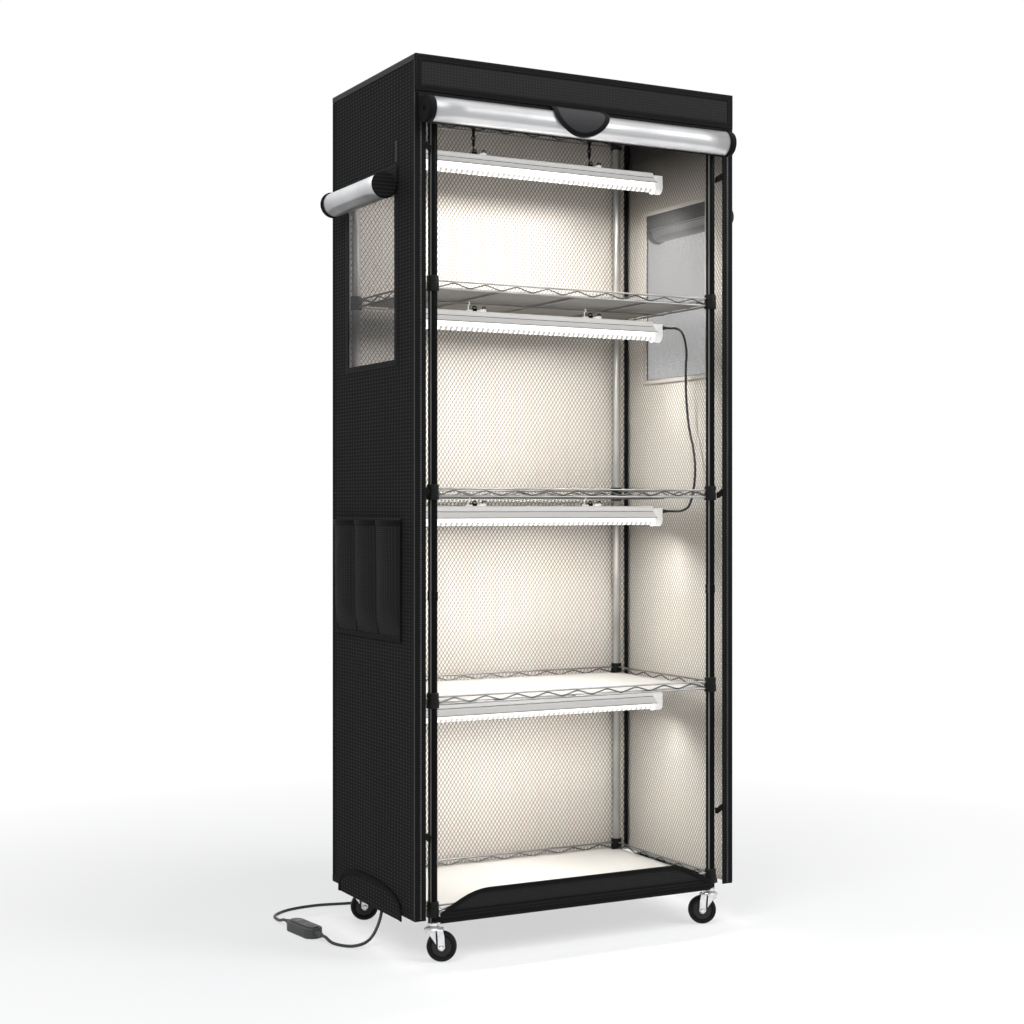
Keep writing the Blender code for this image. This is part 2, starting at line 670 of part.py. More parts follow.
def side_panel(side, sign):
    """A side wall with its window opening, front zip strip, port flap and the ties to the pole."""
    outer = sign * COVER_W / 2
    inner = outer - sign * WALL
    xs = sorted((outer, inner))
    roof = COVER_TOP - WALL - CLEAR
    panel = box(f"side_panel_{side}", (xs[0], FRONT, COVER_HEM), (xs[1], BACK, roof), OXFORD)
    strip_x = sorted((outer - sign * 0.0001, outer - sign * STRIP_W))
    strip = box("strip", (strip_x[0], FRONT + 0.0001, COVER_HEM + 0.0001),
                (strip_x[1], FRONT + WALL, HEADER_LOW - CLEAR), collection=cutters)
    window = box("window", (xs[0] - 0.01, FRONT + WINDOW_FRONT_IN, WINDOW_LOW),
                 (xs[1] + 0.01, BACK - WINDOW_BACK_IN, WINDOW_HIGH), collection=cutters)
    port_front, port_back = FRONT + PORT_FRONT_IN, BACK - PORT_BACK_IN
    middle, half = (port_front + port_back) / 2, (port_back - port_front) / 2
    rise = PORT_TOP - PORT_LOW
    ring = [(middle + half * math.cos(math.radians(a)),
             PORT_LOW + rise * math.sin(math.radians(a)) ** 0.55) for a in range(0, 181, 12)]
    flap = outline("port", [ring], PORT_T + 0.0004, "YZ", outer + sign * (PORT_T / 2 - 0.0002), collection=cutters)
    ties = []
    for z in TIE_HEIGHTS:
        beside_collar = min(abs(z - shelf) for shelf in SHELF_Z) < (COLLAR_H + TIE_H) / 2
        pole_edge = sign * (POLE_X + (COLLAR_R if beside_collar else POLE_R) + CLEAR)
        tie_x = sorted((pole_edge, outer - sign * (STRIP_W - 0.0020)))
        ties.append(box("tie", (tie_x[0], FRONT + 0.0004, z - TIE_H / 2), (tie_x[1], FRONT + 0.0004 + TIE_T, z + TIE_H / 2),
                        collection=cutters))
        ties.append(box("tie_end", (tie_x[0] if sign > 0 else tie_x[1] - TIE_T, FRONT + 0.0006, z - TIE_H / 2 + 0.0002),
                        (tie_x[0] + TIE_T if sign > 0 else tie_x[1], FRONT + POLE_FRONT_IN, z + TIE_H / 2 - 0.0002),
                        collection=cutters))
    cut(panel, window)
    fuse(bpy.data.objects[f"side_panel_{side}"], strip, flap, *ties)


def cover():
    """The fabric cover: side walls, back, roof with the header's front, header band and sill."""
    for side, sign in SIDE.items():
        side_panel(side, sign)
    inner_x = COVER_W / 2 - WALL - CLEAR
    roof = COVER_TOP - WALL
    box("back_panel", (-inner_x, BACK - WALL, COVER_HEM), (inner_x, BACK, roof - CLEAR), OXFORD)
    roof_panel = box("roof_panel", (-COVER_W / 2, FRONT, roof), (COVER_W / 2, BACK, COVER_TOP), OXFORD)
    front = box("header_wall", (-inner_x, FRONT + 0.0001, HEADER_LOW), (inner_x, FRONT + WALL, roof + 0.001),
                collection=cutters)
    fuse(roof_panel, front)
    face = FRONT - CLEAR
    box("header_band", (-COVER_W / 2, face - HEADER_T, HEADER_LOW), (COVER_W / 2, face, COVER_TOP), OXFORD)
    sill()


def sill():
    """The low front band between the zip strips, its top edge a flat arch with ramps."""
    half = COVER_W / 2 - STRIP_W - CLEAR
    ring = [(-half, SILL_LOW), (half, SILL_LOW)]
    steps = 8
    for sign in (1, -1):
        ramp = []
        for i in range(steps + 1):
            t = i / steps
            ramp.append((sign * (half - SILL_RAMP * t), SILL_END_TOP + (SILL_TOP - SILL_END_TOP) * math.sin(t * math.pi / 2)))
        ring += ramp if sign > 0 else ramp[::-1]
    outline("front_sill", [ring], SILL_T, "XZ", FRONT + SILL_T / 2, mat=OXFORD)


def window_nets():
    """A framed net in each side window."""
    low_y, high_y = FRONT + WINDOW_FRONT_IN + CLEAR, BACK - WINDOW_BACK_IN - CLEAR
    low_z, high_z = WINDOW_LOW + CLEAR, WINDOW_HIGH - CLEAR
    rings = [[(low_y, low_z), (high_y, low_z), (high_y, high_z), (low_y, high_z)]]
    wide = (high_y - low_y - 2 * NET_FRAME + NET_BAR) / NET_COLUMNS
    tall = (high_z - low_z - 2 * NET_FRAME + NET_BAR) / NET_ROWS
    for i in range(NET_COLUMNS):
        for j in range(NET_ROWS):
            y, z = low_y + NET_FRAME + wide * i, low_z + NET_FRAME + tall * j
            rings.append([(y, z), (y + wide - NET_BAR, z), (y + wide - NET_BAR, z + tall - NET_BAR),
                          (y, z + tall - NET_BAR)])
    for side, sign in SIDE.items():
        outline(f"window_net_{side}", rings, NET_T, "YZ", sign * (COVER_W / 2 - WALL / 2), mat=NETTING)


def roll_profile(radius, length):
    """A rolled panel: silver body between two bound ends whose rolled layers step inwards."""
    half = length / 2
    proud = 0.0006
    end = [(0, half - 0.004), (radius * 0.50, half), (radius, half), (radius, half - ROLL_BORDER),
           (radius - proud, half - ROLL_BORDER - proud)]
    return end + [(r, -z) for r, z in reversed(end)]


def rolls():
    """The rolled-up front door and the two rolled-up window covers."""
    door_y = FRONT - HEADER_T - 2 * CLEAR - DOOR_ROLL_R
    length = COVER_W - DOOR_ROLL_LEFT_IN - DOOR_ROLL_RIGHT_IN
    spun("door_roll", roll_profile(DOOR_ROLL_R, length), axis="X",
         at=((DOOR_ROLL_LEFT_IN - DOOR_ROLL_RIGHT_IN) / 2, door_y, DOOR_ROLL_Z), steps=20, mat=FILM)
    roll_front, roll_back = FRONT + WINDOW_ROLL_FRONT_IN, BACK - WINDOW_ROLL_BACK_IN
    middle = (roll_front + roll_back) / 2
    for side, sign in SIDE.items():
        skew = WINDOW_ROLL_SKEW if sign > 0 else 0
        spun(f"window_roll_{side}", roll_profile(WINDOW_ROLL_R, roll_back - roll_front), axis="Y",
             at=(sign * (COVER_W / 2 + CLEAR + WINDOW_ROLL_R), middle - skew, WINDOW_ROLL_Z), steps=18, mat=FILM)


def badge():
    """The half-round flap that hangs from the header over the middle of the door roll."""
    centre = (FRONT - HEADER_T - 2 * CLEAR - DOOR_ROLL_R, DOOR_ROLL_Z)
    radius = DOOR_ROLL_R + CLEAR
    start = (FRONT - HEADER_T - 2 * CLEAR - 0.0004, BADGE_TOP)
    away = Vector((start[0] - centre[0], start[1] - centre[1]))
    lean = math.degrees(math.atan2(away.y, away.x))
    touch = lean + math.degrees(math.acos(radius / away.length))
    inner = [start] + arc(centre, radius, touch, 235, 10)
    outer = [(start[0] + BADGE_T * math.cos(math.radians(touch)), start[1] + BADGE_T * math.sin(math.radians(touch)))]
    outer += arc(centre, radius + BADGE_T, touch, 235, 10)
    sheet = outline("badge_flap", [inner + outer[::-1]], BADGE_W, "YZ", BADGE_X, mat=OXFORD)
    ring = [(BADGE_X - BADGE_W / 2 - 0.001, BADGE_TOP + 0.01), (BADGE_X + BADGE_W / 2 + 0.001, BADGE_TOP + 0.01)]
    half, drop = BADGE_W / 2 - 0.0005, BADGE_H
    ring += [(BADGE_X + half * math.cos(math.radians(a)), BADGE_TOP - 0.004 - (drop - 0.004) * math.sin(math.radians(a)))
             for a in range(0, 181, 12)]
    mask = outline("badge_mask", [ring], 0.20, "XZ", FRONT - 0.03, collection=cutters)
    flap = boolean(sheet, [mask], "INTERSECT")
    carry("badge_hinge", (BADGE_X, *outer[0]), flap)


def pocket():
    """The tool pocket on the left wall: a flat back and a front that bulges in three cells."""
    face = -COVER_W / 2 - CLEAR
    y0, y1 = FRONT + POCKET_FRONT_IN, BACK - POCKET_BACK_IN
    cell = (y1 - y0) / POCKET_CELLS
    steps = 6

    def front_line(depth, inset):
        points = []
        for c in range(POCKET_CELLS):
            for i in range(steps + 1):
                t = i / steps
                y = y0 + inset + (y1 - y0 - 2 * inset) * (c + t) / POCKET_CELLS
                bulge = depth * math.sin(t * math.pi) ** 0.5
                points.append((face - POCKET_T * 1.2 - bulge, y))
        clean = [points[0]]
        for p in points[1:]:
            if math.dist(p, clean[-1]) > 1e-5:
                clean.append(p)
        return clean

    outer = front_line(POCKET_BULGE, 0)
    body = outline("tool_pocket", [[(face, y0), *[(x, y) for x, y in outer], (face, y1)]],
                   POCKET_TOP - POCKET_LOW, "XY", (POCKET_TOP + POCKET_LOW) / 2, mat=OXFORD)
    cells = []
    for c in range(POCKET_CELLS):
        a = y0 + cell * c + 0.006
        ring = []
        for i in range(steps + 1):
            t = i / steps
            bulge = (POCKET_BULGE - POCKET_T) * math.sin(math.radians(6 + 168 * t)) ** 0.5
            ring.append((face - POCKET_T - bulge, a + (cell - 0.012) * t))
        ring = [(face - POCKET_T, a), *ring, (face - POCKET_T, a + cell - 0.012)]
        cells.append(outline("cell", [ring], POCKET_TOP - POCKET_LOW, "XY",
                             (POCKET_TOP + POCKET_LOW) / 2 + 0.004, collection=cutters))
    cut(body, *cells)


def light_end(number, sign):
    """The middle of a light's end face, where a plug goes in."""
    return Vector((sign * LIGHT_L / 2, LIGHT_AXIS_Y, LIGHT_TOPS[number - 1] - 0.0095))


def plug_at(name, start, direction):
    """A small moulded plug with a tapered tail, its face at start."""
    profile = [(0, PLUG_L), (LINK_D / 2 + 0.0006, PLUG_L), (PLUG_R * 0.8, PLUG_L * 0.55), (PLUG_R, PLUG_L * 0.45), (PLUG_R, 0),
               (0, 0)]
    return spun(name, profile, axis=direction, at=start, steps=10, mat=RUBBER)


def link_route():
    """The cord between lights 3 and 2: out of the plug, past the shelf's edge and back in."""
    x3, x2 = light_end(3, 1), light_end(2, 1)
    start = x3 + Vector((CLEAR + PLUG_L + CLEAR, 0, 0))
    end = x2 + Vector((CLEAR + PLUG_L + CLEAR, 0, 0))
    beside = POLE_X + 0.0195
    route = [start, start + Vector((0.007, 0, 0))]
    route += [(beside + 0.0005, LIGHT_AXIS_Y - 0.0140, 1.1020), (beside, LIGHT_AXIS_Y - 0.0360, 1.0900),
              (beside, LIGHT_AXIS_Y - 0.0480, 1.0600), (beside, LIGHT_AXIS_Y - 0.0460, 1.0150),
              (beside, LIGHT_AXIS_Y - 0.0480, 0.9650), (beside, LIGHT_AXIS_Y - 0.0570, 0.9130),
              (beside, LIGHT_AXIS_Y - 0.0720, 0.8700), (beside, LIGHT_AXIS_Y - 0.0780, 0.8330),
              (beside, LIGHT_AXIS_Y - 0.0720, 0.7930), (beside, LIGHT_AXIS_Y - 0.0580, 0.7640),
              (beside, LIGHT_AXIS_Y - 0.0360, 0.7550), (beside + 0.0005, LIGHT_AXIS_Y - 0.0140, 0.7532)]
    return route + [end + Vector((0.007, 0, 0)), end]


def link_cord():
    plug_at("link_plug_upper", light_end(3, 1) + Vector((CLEAR, 0, 0)), "X")
    plug_at("link_plug_lower", light_end(2, 1) + Vector((CLEAR, 0, 0)), "X")
    cord("link_cord", link_route(), LINK_D)


def case_frame():
    """The controller's own frame: +X along the lead's way on, origin on the floor under its middle."""
    return Matrix.Translation((-COVER_W / 2 - CASE_OUT, FRONT + CASE_IN, 0)) @ Matrix.Rotation(math.radians(CASE_TURN), 4, "Z")


def stadium(length, width, count=6):
    half, r = (length - width) / 2, width / 2
    return arc((half, 0), r, -90, 90, count) + arc((-half, 0), r, 90, 270, count)


def relief_profile():
    """A strain relief: a taper with ribs, from the case out along the lead."""
    points = [(0, -0.004), (RELIEF_R1, -0.004)]
    pitch = RELIEF_L / RELIEF_RIBS
    for i in range(RELIEF_RIBS):
        r = RELIEF_R1 + (RELIEF_R2 - RELIEF_R1) * (i + 0.5) / RELIEF_RIBS
        points += [(r, pitch * (i + 0.45)), (r - 0.0011, pitch * (i + 0.80))]
    points += [(0, RELIEF_L)]
    return points[::-1]


def controller():
    """The timer on the mains lead: a stadium case with a raised face, two reliefs and two buttons."""
    frame = case_frame()
    body_h = CASE_H - CASE_STEP_H
    case = outline("controller_case", [stadium(CASE_L, CASE_W)], body_h, "XY", body_h / 2, mat=CASE)
    bevel = case.modifiers.new("round", "BEVEL")
    bevel.width = 0.0045
    bevel.segments = 2
    bevel.limit_method = "ANGLE"
    bevel.angle_limit = math.radians(60)
    case = to_mesh(case, mat=CASE)
    face = outline("face", [stadium(CASE_L - 2 * CASE_STEP_IN - 0.001, CASE_W - 2 * CASE_STEP_IN)], CASE_STEP_H + 0.001,
                   "XY", CASE_H - CASE_STEP_H / 2 - 0.0005, collection=cutters)
    reliefs = []
    for sign in (-1, 1):
        relief = spun("relief", relief_profile(), axis="X", steps=9, collection=cutters)
        flip = Matrix.Identity(4) if sign > 0 else Matrix.Rotation(math.pi, 4, "Z")
        relief.matrix_world = flip @ Matrix.Translation((CASE_L / 2 - 0.0010, 0, CASE_H / 2)) @ relief.matrix_world
        reliefs.append(relief)
    case = fuse(case, face, *reliefs)
    wells = []
    for at in (TIME_BUTTON_AT, POWER_BUTTON_AT):
        deep = CASE_H - BUTTON_H - 0.0012
        wells.append(cylinder("well", BUTTON_R + BUTTON_GAP, (-at, 0, deep), (-at, 0, CASE_H + 0.002), sides=12,
                              collection=cutters))
    case = cut(case, *wells)
    case.matrix_world = frame
    smooth(case, 40)
    for name, at in (("time_button", TIME_BUTTON_AT), ("power_button", POWER_BUTTON_AT)):
        low = CASE_H + BUTTON_PROUD - BUTTON_H - 0.0008
        top = CASE_H + BUTTON_PROUD
        place = frame @ Vector((-at, 0, 0))
        button = spun(name, [(0, top), (BUTTON_R - 0.0006, top), (BUTTON_R, top - 0.0006), (BUTTON_R, low), (0, low)],
                      at=place, steps=12, mat=CASE)
        carry(f"{name}_slide", place, button)


def lead_exit():
    """Where the mains lead leaves its elbow plug at the lowest light's left end."""
    return light_end(1, -1) + Vector((-0.0085, 0, -0.0070 - CLEAR))


def lead_route_in():
    """From the lowest light down inside the left wall, under the hem and along the floor to the case."""
    start = lead_exit()
    frame = case_frame()
    floor = LEAD_D / 2
    relief = CASE_L / 2 - 0.0010 + RELIEF_L + CLEAR
    wall = -(POLE_X + 0.0210)
    y = LIGHT_AXIS_Y
    route = [start, start + Vector((0, 0, -0.016)), (wall + 0.016, y + 0.001, start.z - 0.052),
             (wall + 0.005, y + 0.003, start.z - 0.110), (wall, y + 0.006, 0.210), (wall, y + 0.010, 0.120),
             (wall - 0.003, y + 0.014, 0.072), (wall - 0.016, y + 0.019, 0.034), (wall - 0.040, y + 0.026, 0.011),
             (wall - 0.066, y + 0.036, floor + 0.0005)]
    route += [frame @ Vector((-relief - 0.034, -0.0020, floor + 0.0010)), frame @ Vector((-relief - 0.010, 0, CASE_H / 2)),
              frame @ Vector((-relief, 0, CASE_H / 2))]
    return route


def coil_points():
    """The unused length: two spiral layers, inwards on the floor and outwards on top."""
    centre = Vector((COIL_X, BACK + COIL_BEHIND, 0))
    total = COIL_TURNS * COIL_POINTS
    start_angle = 90.0
    points = []
    for i in range(total + 1):
        turn = i / COIL_POINTS
        inwards = min(turn, COIL_TURNS - turn)
        radius = COIL_R_OUT - COIL_PITCH * inwards
        climb = min(1.0, max(0.0, (turn - COIL_TURNS / 2 + 0.25) / 0.5))
        rise = climb * climb * (3 - 2 * climb)
        z = LEAD_D / 2 + rise * (LEAD_D + 0.0006)
        angle = math.radians(start_angle - 360 * turn)
        points.append(centre + Vector((radius * math.cos(angle), radius * math.sin(angle), z)))
    return points


def straight_end(before, end, length):
    """A point straight on from an end of the coil."""
    return end + (end - before).normalized() * length


def report_coil_gap(points):
    """Print the coil's least gap to itself, over points more than half a turn apart."""
    least = min((points[i] - points[j]).length for i in range(len(points))
                for j in range(i + COIL_POINTS // 2, len(points)))
    print("coil: least gap to itself", round((least - LEAD_D) * 1000, 2), "mm")


def lead_route_out(coil_start, coil_way):
    """From the case along the floor, round the back corner and into the coil."""
    frame = case_frame()
    floor = LEAD_D / 2
    relief = CASE_L / 2 - 0.0010 + RELIEF_L + CLEAR
    return [frame @ Vector((relief, 0, CASE_H / 2)), frame @ Vector((relief + 0.010, 0, CASE_H / 2)),
            frame @ Vector((relief + 0.036, -0.003, floor + 0.0010)), (-0.408, BACK + 0.068, floor),
            (-0.372, BACK + 0.100, floor), (-0.310, BACK + 0.112, floor), (-0.240, BACK + 0.098, floor),
            coil_start - coil_way * 0.024, coil_start - coil_way * CLEAR]


def mains_plug(start, way):
    """A plain two-pin plug: rounded body with a tapered tail and two flat blades."""
    turn = math.atan2(way.y, way.x)
    body = outline("mains_plug", [stadium(0.024, 0.017, 5)], MAINS_PLUG_L - 0.012, "XY", 0, mat=RUBBER)
    body.matrix_world = Matrix.Rotation(math.pi / 2, 4, "Y") @ Matrix.Rotation(math.pi / 2, 4, "Z")
    body.matrix_world = Matrix.Translation(((MAINS_PLUG_L - 0.012) / 2 + 0.012, 0, 0)) @ body.matrix_world
    tail = spun("tail", [(0, 0.013), (0.0072, 0.013), (0.0040, 0), (0, 0)], axis="X", steps=14, collection=cutters)
    blades = []
    for y in (-0.0064, 0.0064):
        blades.append(box("blade", (MAINS_PLUG_L - 0.001, y - 0.0008, -0.0031), (MAINS_PLUG_L + 0.016, y + 0.0008, 0.0031),
                          collection=cutters))
    plug = fuse(body, tail, *blades)
    plug.matrix_world = Matrix.Translation(start) @ Matrix.Rotation(turn, 4, "Z") @ plug.matrix_world
    return plug


def mains_lead():
    """The lead from the lowest light through the controller to the mains plug."""
    end = light_end(1, -1)
    low, high = end + Vector((-0.0150, -0.0060, -0.0070)), end + Vector((-CLEAR, 0.0060, 0.0060))
    box("lead_elbow", low, high, RUBBER, bevel=0.0015)
    cord("mains_lead_in", lead_route_in(), LEAD_D)
    coil = coil_points()
    report_coil_gap(coil)
    full = [straight_end(coil[1], coil[0], LEAD_D), *coil, straight_end(coil[-2], coil[-1], COIL_TAIL)]
    tube("mains_lead_coil", full, LEAD_D / 2, 1, mat=RUBBER)
    way = (full[1] - full[0]).normalized()
    cord("mains_lead_out", lead_route_out(full[0], way), LEAD_D)
    out = (full[-1] - full[-2]).normalized()
    mains_plug(full[-1] + out * CLEAR, out)


poles()
shelves()
liners()
casters()
lights()
cover()
window_nets()
rolls()
badge()
pocket()
link_cord()
controller()
mains_lead()
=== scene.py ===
"""The finished look of a four-tier mini greenhouse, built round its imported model.

Metres, +Z up. X runs across the front and +Y points to the back. Every piece is made in its place.
"""

import json
import math

import bmesh
import bpy
from mathutils import Matrix, Vector, noise

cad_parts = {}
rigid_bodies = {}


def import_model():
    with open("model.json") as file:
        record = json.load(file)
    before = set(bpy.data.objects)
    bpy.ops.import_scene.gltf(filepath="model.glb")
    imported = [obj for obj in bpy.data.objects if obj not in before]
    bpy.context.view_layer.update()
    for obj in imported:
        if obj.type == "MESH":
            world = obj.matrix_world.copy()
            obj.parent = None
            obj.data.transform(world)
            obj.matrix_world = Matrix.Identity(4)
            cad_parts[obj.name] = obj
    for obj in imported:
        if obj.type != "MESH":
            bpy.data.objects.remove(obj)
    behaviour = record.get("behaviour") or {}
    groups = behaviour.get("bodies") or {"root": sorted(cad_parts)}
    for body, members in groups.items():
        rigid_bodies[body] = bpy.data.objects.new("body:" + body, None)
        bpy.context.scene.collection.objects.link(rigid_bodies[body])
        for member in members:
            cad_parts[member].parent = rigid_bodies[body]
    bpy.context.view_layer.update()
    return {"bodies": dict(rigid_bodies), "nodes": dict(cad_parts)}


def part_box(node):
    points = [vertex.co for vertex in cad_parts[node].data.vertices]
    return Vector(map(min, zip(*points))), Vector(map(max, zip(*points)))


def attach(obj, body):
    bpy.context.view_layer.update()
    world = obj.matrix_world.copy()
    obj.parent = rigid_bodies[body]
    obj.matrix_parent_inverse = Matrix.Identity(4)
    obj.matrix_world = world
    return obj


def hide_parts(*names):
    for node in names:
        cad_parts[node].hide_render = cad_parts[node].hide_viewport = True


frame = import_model()

# Places read from the frame
ROOF_LOW, ROOF_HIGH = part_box("roof_panel")
FRONT, BACK, TOP = ROOF_LOW.y, ROOF_HIGH.y, ROOF_HIGH.z
HALF_W = ROOF_HIGH.x
HEADER_LOW = ROOF_LOW.z
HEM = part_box("back_panel")[0].z
SIDE = {"left": -1, "right": 1}
ROWS = ("front", "rear")
CORNERS = [(row, side) for row in ROWS for side in SIDE]
SHELVES = ("shelf_1", "shelf_2", "shelf_3", "shelf_4", "shelf_top")


def middle(node_name):
    low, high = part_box(node_name)
    return (low + high) / 2


POLE_X = middle("pole_front_right").x
POLE_Y = {row: middle(f"pole_{row}_right").y for row in ROWS}
SHELF_Z = [middle(name).z for name in SHELVES]
NET_LOW, NET_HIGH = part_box("window_net_left")

# Sizes that the finish adds, in metres
WALL = 0.0018                  # outer cloth and lining together
SKIN = 0.0008                  # outer cloth alone
STRIP_W = 0.021                # the zip's strip
CLEAR = 0.0003                 # between neighbouring pieces
MERGE = 1e-6                   # points closer than this are one
POLE_R = 0.008
LINK_D = 0.0044
LEAD_D = 0.0055
ROLL_BORDER = 0.013
SPINE_SHORT = 0.022            # a light's spine ends this far inside its end caps
TRAIL = 0.015                  # from a caster's swivel axis to its axle
TIE_PITCH = 0.577              # between the ties that hold the cover to a front post
FORWARD = Vector((0, -1, 0))
UP = Vector((0, 0, 1))


# Node helpers
def plug(tree, socket, value):
    """Link a socket to a socket, or set its value."""
    if isinstance(value, bpy.types.NodeSocket):
        tree.links.new(value, socket)
    elif isinstance(value, tuple) and len(value) == 3 and socket.type == "RGBA":
        socket.default_value = (*value, 1.0)
    else:
        socket.default_value = value


def node(tree, kind, **inputs):
    """A shader node; an input's name is written with _ for each space."""
    made = tree.nodes.new("ShaderNode" + kind)
    for key, value in inputs.items():
        plug(tree, made.inputs[key.replace("_", " ")], value)
    return made


def maths(tree, operation, *values):
    made = tree.nodes.new("ShaderNodeMath")
    made.operation = operation
    for socket, value in zip(made.inputs, values):
        plug(tree, socket, value)
    return made.outputs[0]


def blend_colour(tree, share, first, second):
    return node(tree, "MixRGB", Fac=share, Color1=first, Color2=second).outputs["Color"]


def spread(tree, value, low, high, to_low, to_high):
    """Map a value from one range to another, held at the ends."""
    return node(tree, "MapRange", Value=value, From_Min=low, From_Max=high, To_Min=to_low,
                To_Max=to_high).outputs["Result"]


def object_axes(tree):
    """Object coordinates, whole and as separate X, Y and Z."""
    place = node(tree, "TexCoord").outputs["Object"]
    return place, node(tree, "SeparateXYZ", Vector=place).outputs


def looking(tree):
    """The way that a surface looks, as separate X, Y and Z."""
    return node(tree, "SeparateXYZ", Vector=node(tree, "NewGeometry").outputs["Normal"]).outputs


def wave(tree, value, pitch):
    """A cosine from -1 to 1 with the given pitch."""
    return maths(tree, "COSINE", maths(tree, "MULTIPLY", value, 2 * math.pi / pitch))


def noise_at(tree, place, scale, detail):
    return node(tree, "TexNoise", Vector=place, Scale=scale, Detail=detail).outputs["Fac"]


def patchy(tree, cloud, low, high):
    """A value from low to high that follows a cloud of noise."""
    return spread(tree, cloud, 0.3, 0.7, low, high)


def paint(tree, shader, colour):
    plug(tree, shader.inputs["Base Color"], colour)


def roughen(tree, shader, roughness):
    plug(tree, shader.inputs["Roughness"], roughness)


def raise_bump(tree, shader, height, distance, below=None):
    """Raise a surface by its height, over another bump where one is below."""
    bump = node(tree, "Bump", Height=height, Distance=distance, Strength=1.0)
    if below is not None:
        tree.links.new(below.outputs["Normal"], bump.inputs["Normal"])
    tree.links.new(bump.outputs["Normal"], shader.inputs["Normal"])
    return bump


def start_material(name, colour, roughness, metallic=0.0, **constants):
    """A material with its shader's own constants set; keys are input names with _ for spaces."""
    mat = bpy.data.materials.new(name)
    mat.use_nodes = True
    tree = mat.node_tree
    shader = tree.nodes["Principled BSDF"]
    shader.inputs["Base Color"].default_value = (*colour, 1.0)
    shader.inputs["Roughness"].default_value = roughness
    shader.inputs["Metallic"].default_value = metallic
    for key, value in constants.items():
        plug(tree, shader.inputs[key.replace("_", " ")], value)
    return mat, tree, shader


def surface(name, colour, roughness, metallic=0.0, grain=500.0, mottle=0.15, bump=0.00004, patch=9.0,
            **constants):
    """A painted, plated or moulded finish: mottled colour, uneven gloss and a fine grain."""
    mat, tree, shader = start_material(name, colour, roughness, metallic, **constants)
    place, _ = object_axes(tree)
    cloud = noise_at(tree, place, patch, 5.0)
    fine = noise_at(tree, place, grain, 2.0)
    dark = tuple(c * (1 - mottle) for c in colour)
    light = tuple(min(1.0, c * (1 + mottle)) for c in colour)
    paint(tree, shader, blend_colour(tree, patchy(tree, cloud, 0.0, 1.0), dark, light))
    roughen(tree, shader, patchy(tree, cloud, roughness * 0.85, min(1.0, roughness * 1.2)))
    raise_bump(tree, shader, fine, bump)
    return name, mat


def oxford(name, axes, base, dot, pitches=(0.0062, 0.0062), thread=0.0013):
    """Coated oxford cloth seen along two axes: a fine plain weave under a grid of small raised dots."""
    mat, tree, shader = start_material(name, base, 0.78, Specular_IOR_Level=0.05)
    place, split = object_axes(tree)
    u, v = split[axes[0]], split[axes[1]]
    cloud = noise_at(tree, place, 7.0, 4.0)
    raised_u = maths(tree, "MULTIPLY_ADD", wave(tree, u, pitches[0]), 0.5, 0.5)
    raised_v = maths(tree, "MULTIPLY_ADD", wave(tree, v, pitches[1]), 0.5, 0.5)
    knot = maths(tree, "POWER", maths(tree, "MULTIPLY", raised_u, raised_v), 2.2)
    weave = maths(tree, "MULTIPLY", wave(tree, u, thread), wave(tree, v, thread))
    shade = maths(tree, "MULTIPLY", knot, patchy(tree, cloud, 0.55, 1.0))
    paint(tree, shader, blend_colour(tree, shade, base, dot))
    roughen(tree, shader, spread(tree, knot, 0.0, 1.0, 0.78, 0.5))
    fine = raise_bump(tree, shader, weave, 0.00003)
    raise_bump(tree, shader, knot, 0.0005, fine)
    return name, mat


def lining(name, axes, dim_from, dim_to, dim, cell=(0.76, 0.727, 0.684), groove=(0.13, 0.12, 0.107),
           width=0.0080, height=0.0118, metallic=0.25):
    """Reflective lining: an embossed lattice of small diamonds, with painted shade darkening it towards
    the top.
    """
    mat, tree, shader = start_material(name, cell, 0.34, metallic)
    place, split = object_axes(tree)
    across = maths(tree, "DIVIDE", split[axes[0]], width)
    along = maths(tree, "DIVIDE", split[axes[1]], height)
    to_rising = maths(tree, "PINGPONG", maths(tree, "ADD", across, along), 0.5)
    to_falling = maths(tree, "PINGPONG", maths(tree, "SUBTRACT", across, along), 0.5)
    strong = spread(tree, to_falling, 0.02, 0.18, 0.0, 1.0)
    faint = spread(tree, to_rising, 0.02, 0.18, 0.22, 1.0)
    pillow = maths(tree, "MULTIPLY", strong, faint)
    speck = noise_at(tree, place, 420.0, 1.0)
    cloud = noise_at(tree, place, 5.0, 3.0)
    mottled = blend_colour(tree, spread(tree, speck, 0.35, 0.65, 0.0, 1.0),
                           tuple(c * 0.86 for c in cell), cell)
    warm = blend_colour(tree, spread(tree, cloud, 0.35, 0.7, 0.0, 0.35), mottled,
                        tuple(c * f for c, f in zip(cell, (0.95, 0.88, 0.80))))
    # painted shade: the pillow mask gives the grooves between the diamonds a dark colour, stronger along
    # one diagonal
    sewn = blend_colour(tree, pillow, groove, warm)
    # painted shade: the colour is darkened towards the top, where the lamps leave the lining unlit
    painted_top_shade = spread(tree, split["Z"], dim_from, dim_to, 0.0, 1.0)
    paint(tree, shader, blend_colour(tree, painted_top_shade, sewn, tuple(c * dim for c in cell)))
    roughen(tree, shader, patchy(tree, speck, 0.28, 0.44))
    raise_bump(tree, shader, pillow, 0.0008)
    return name, mat


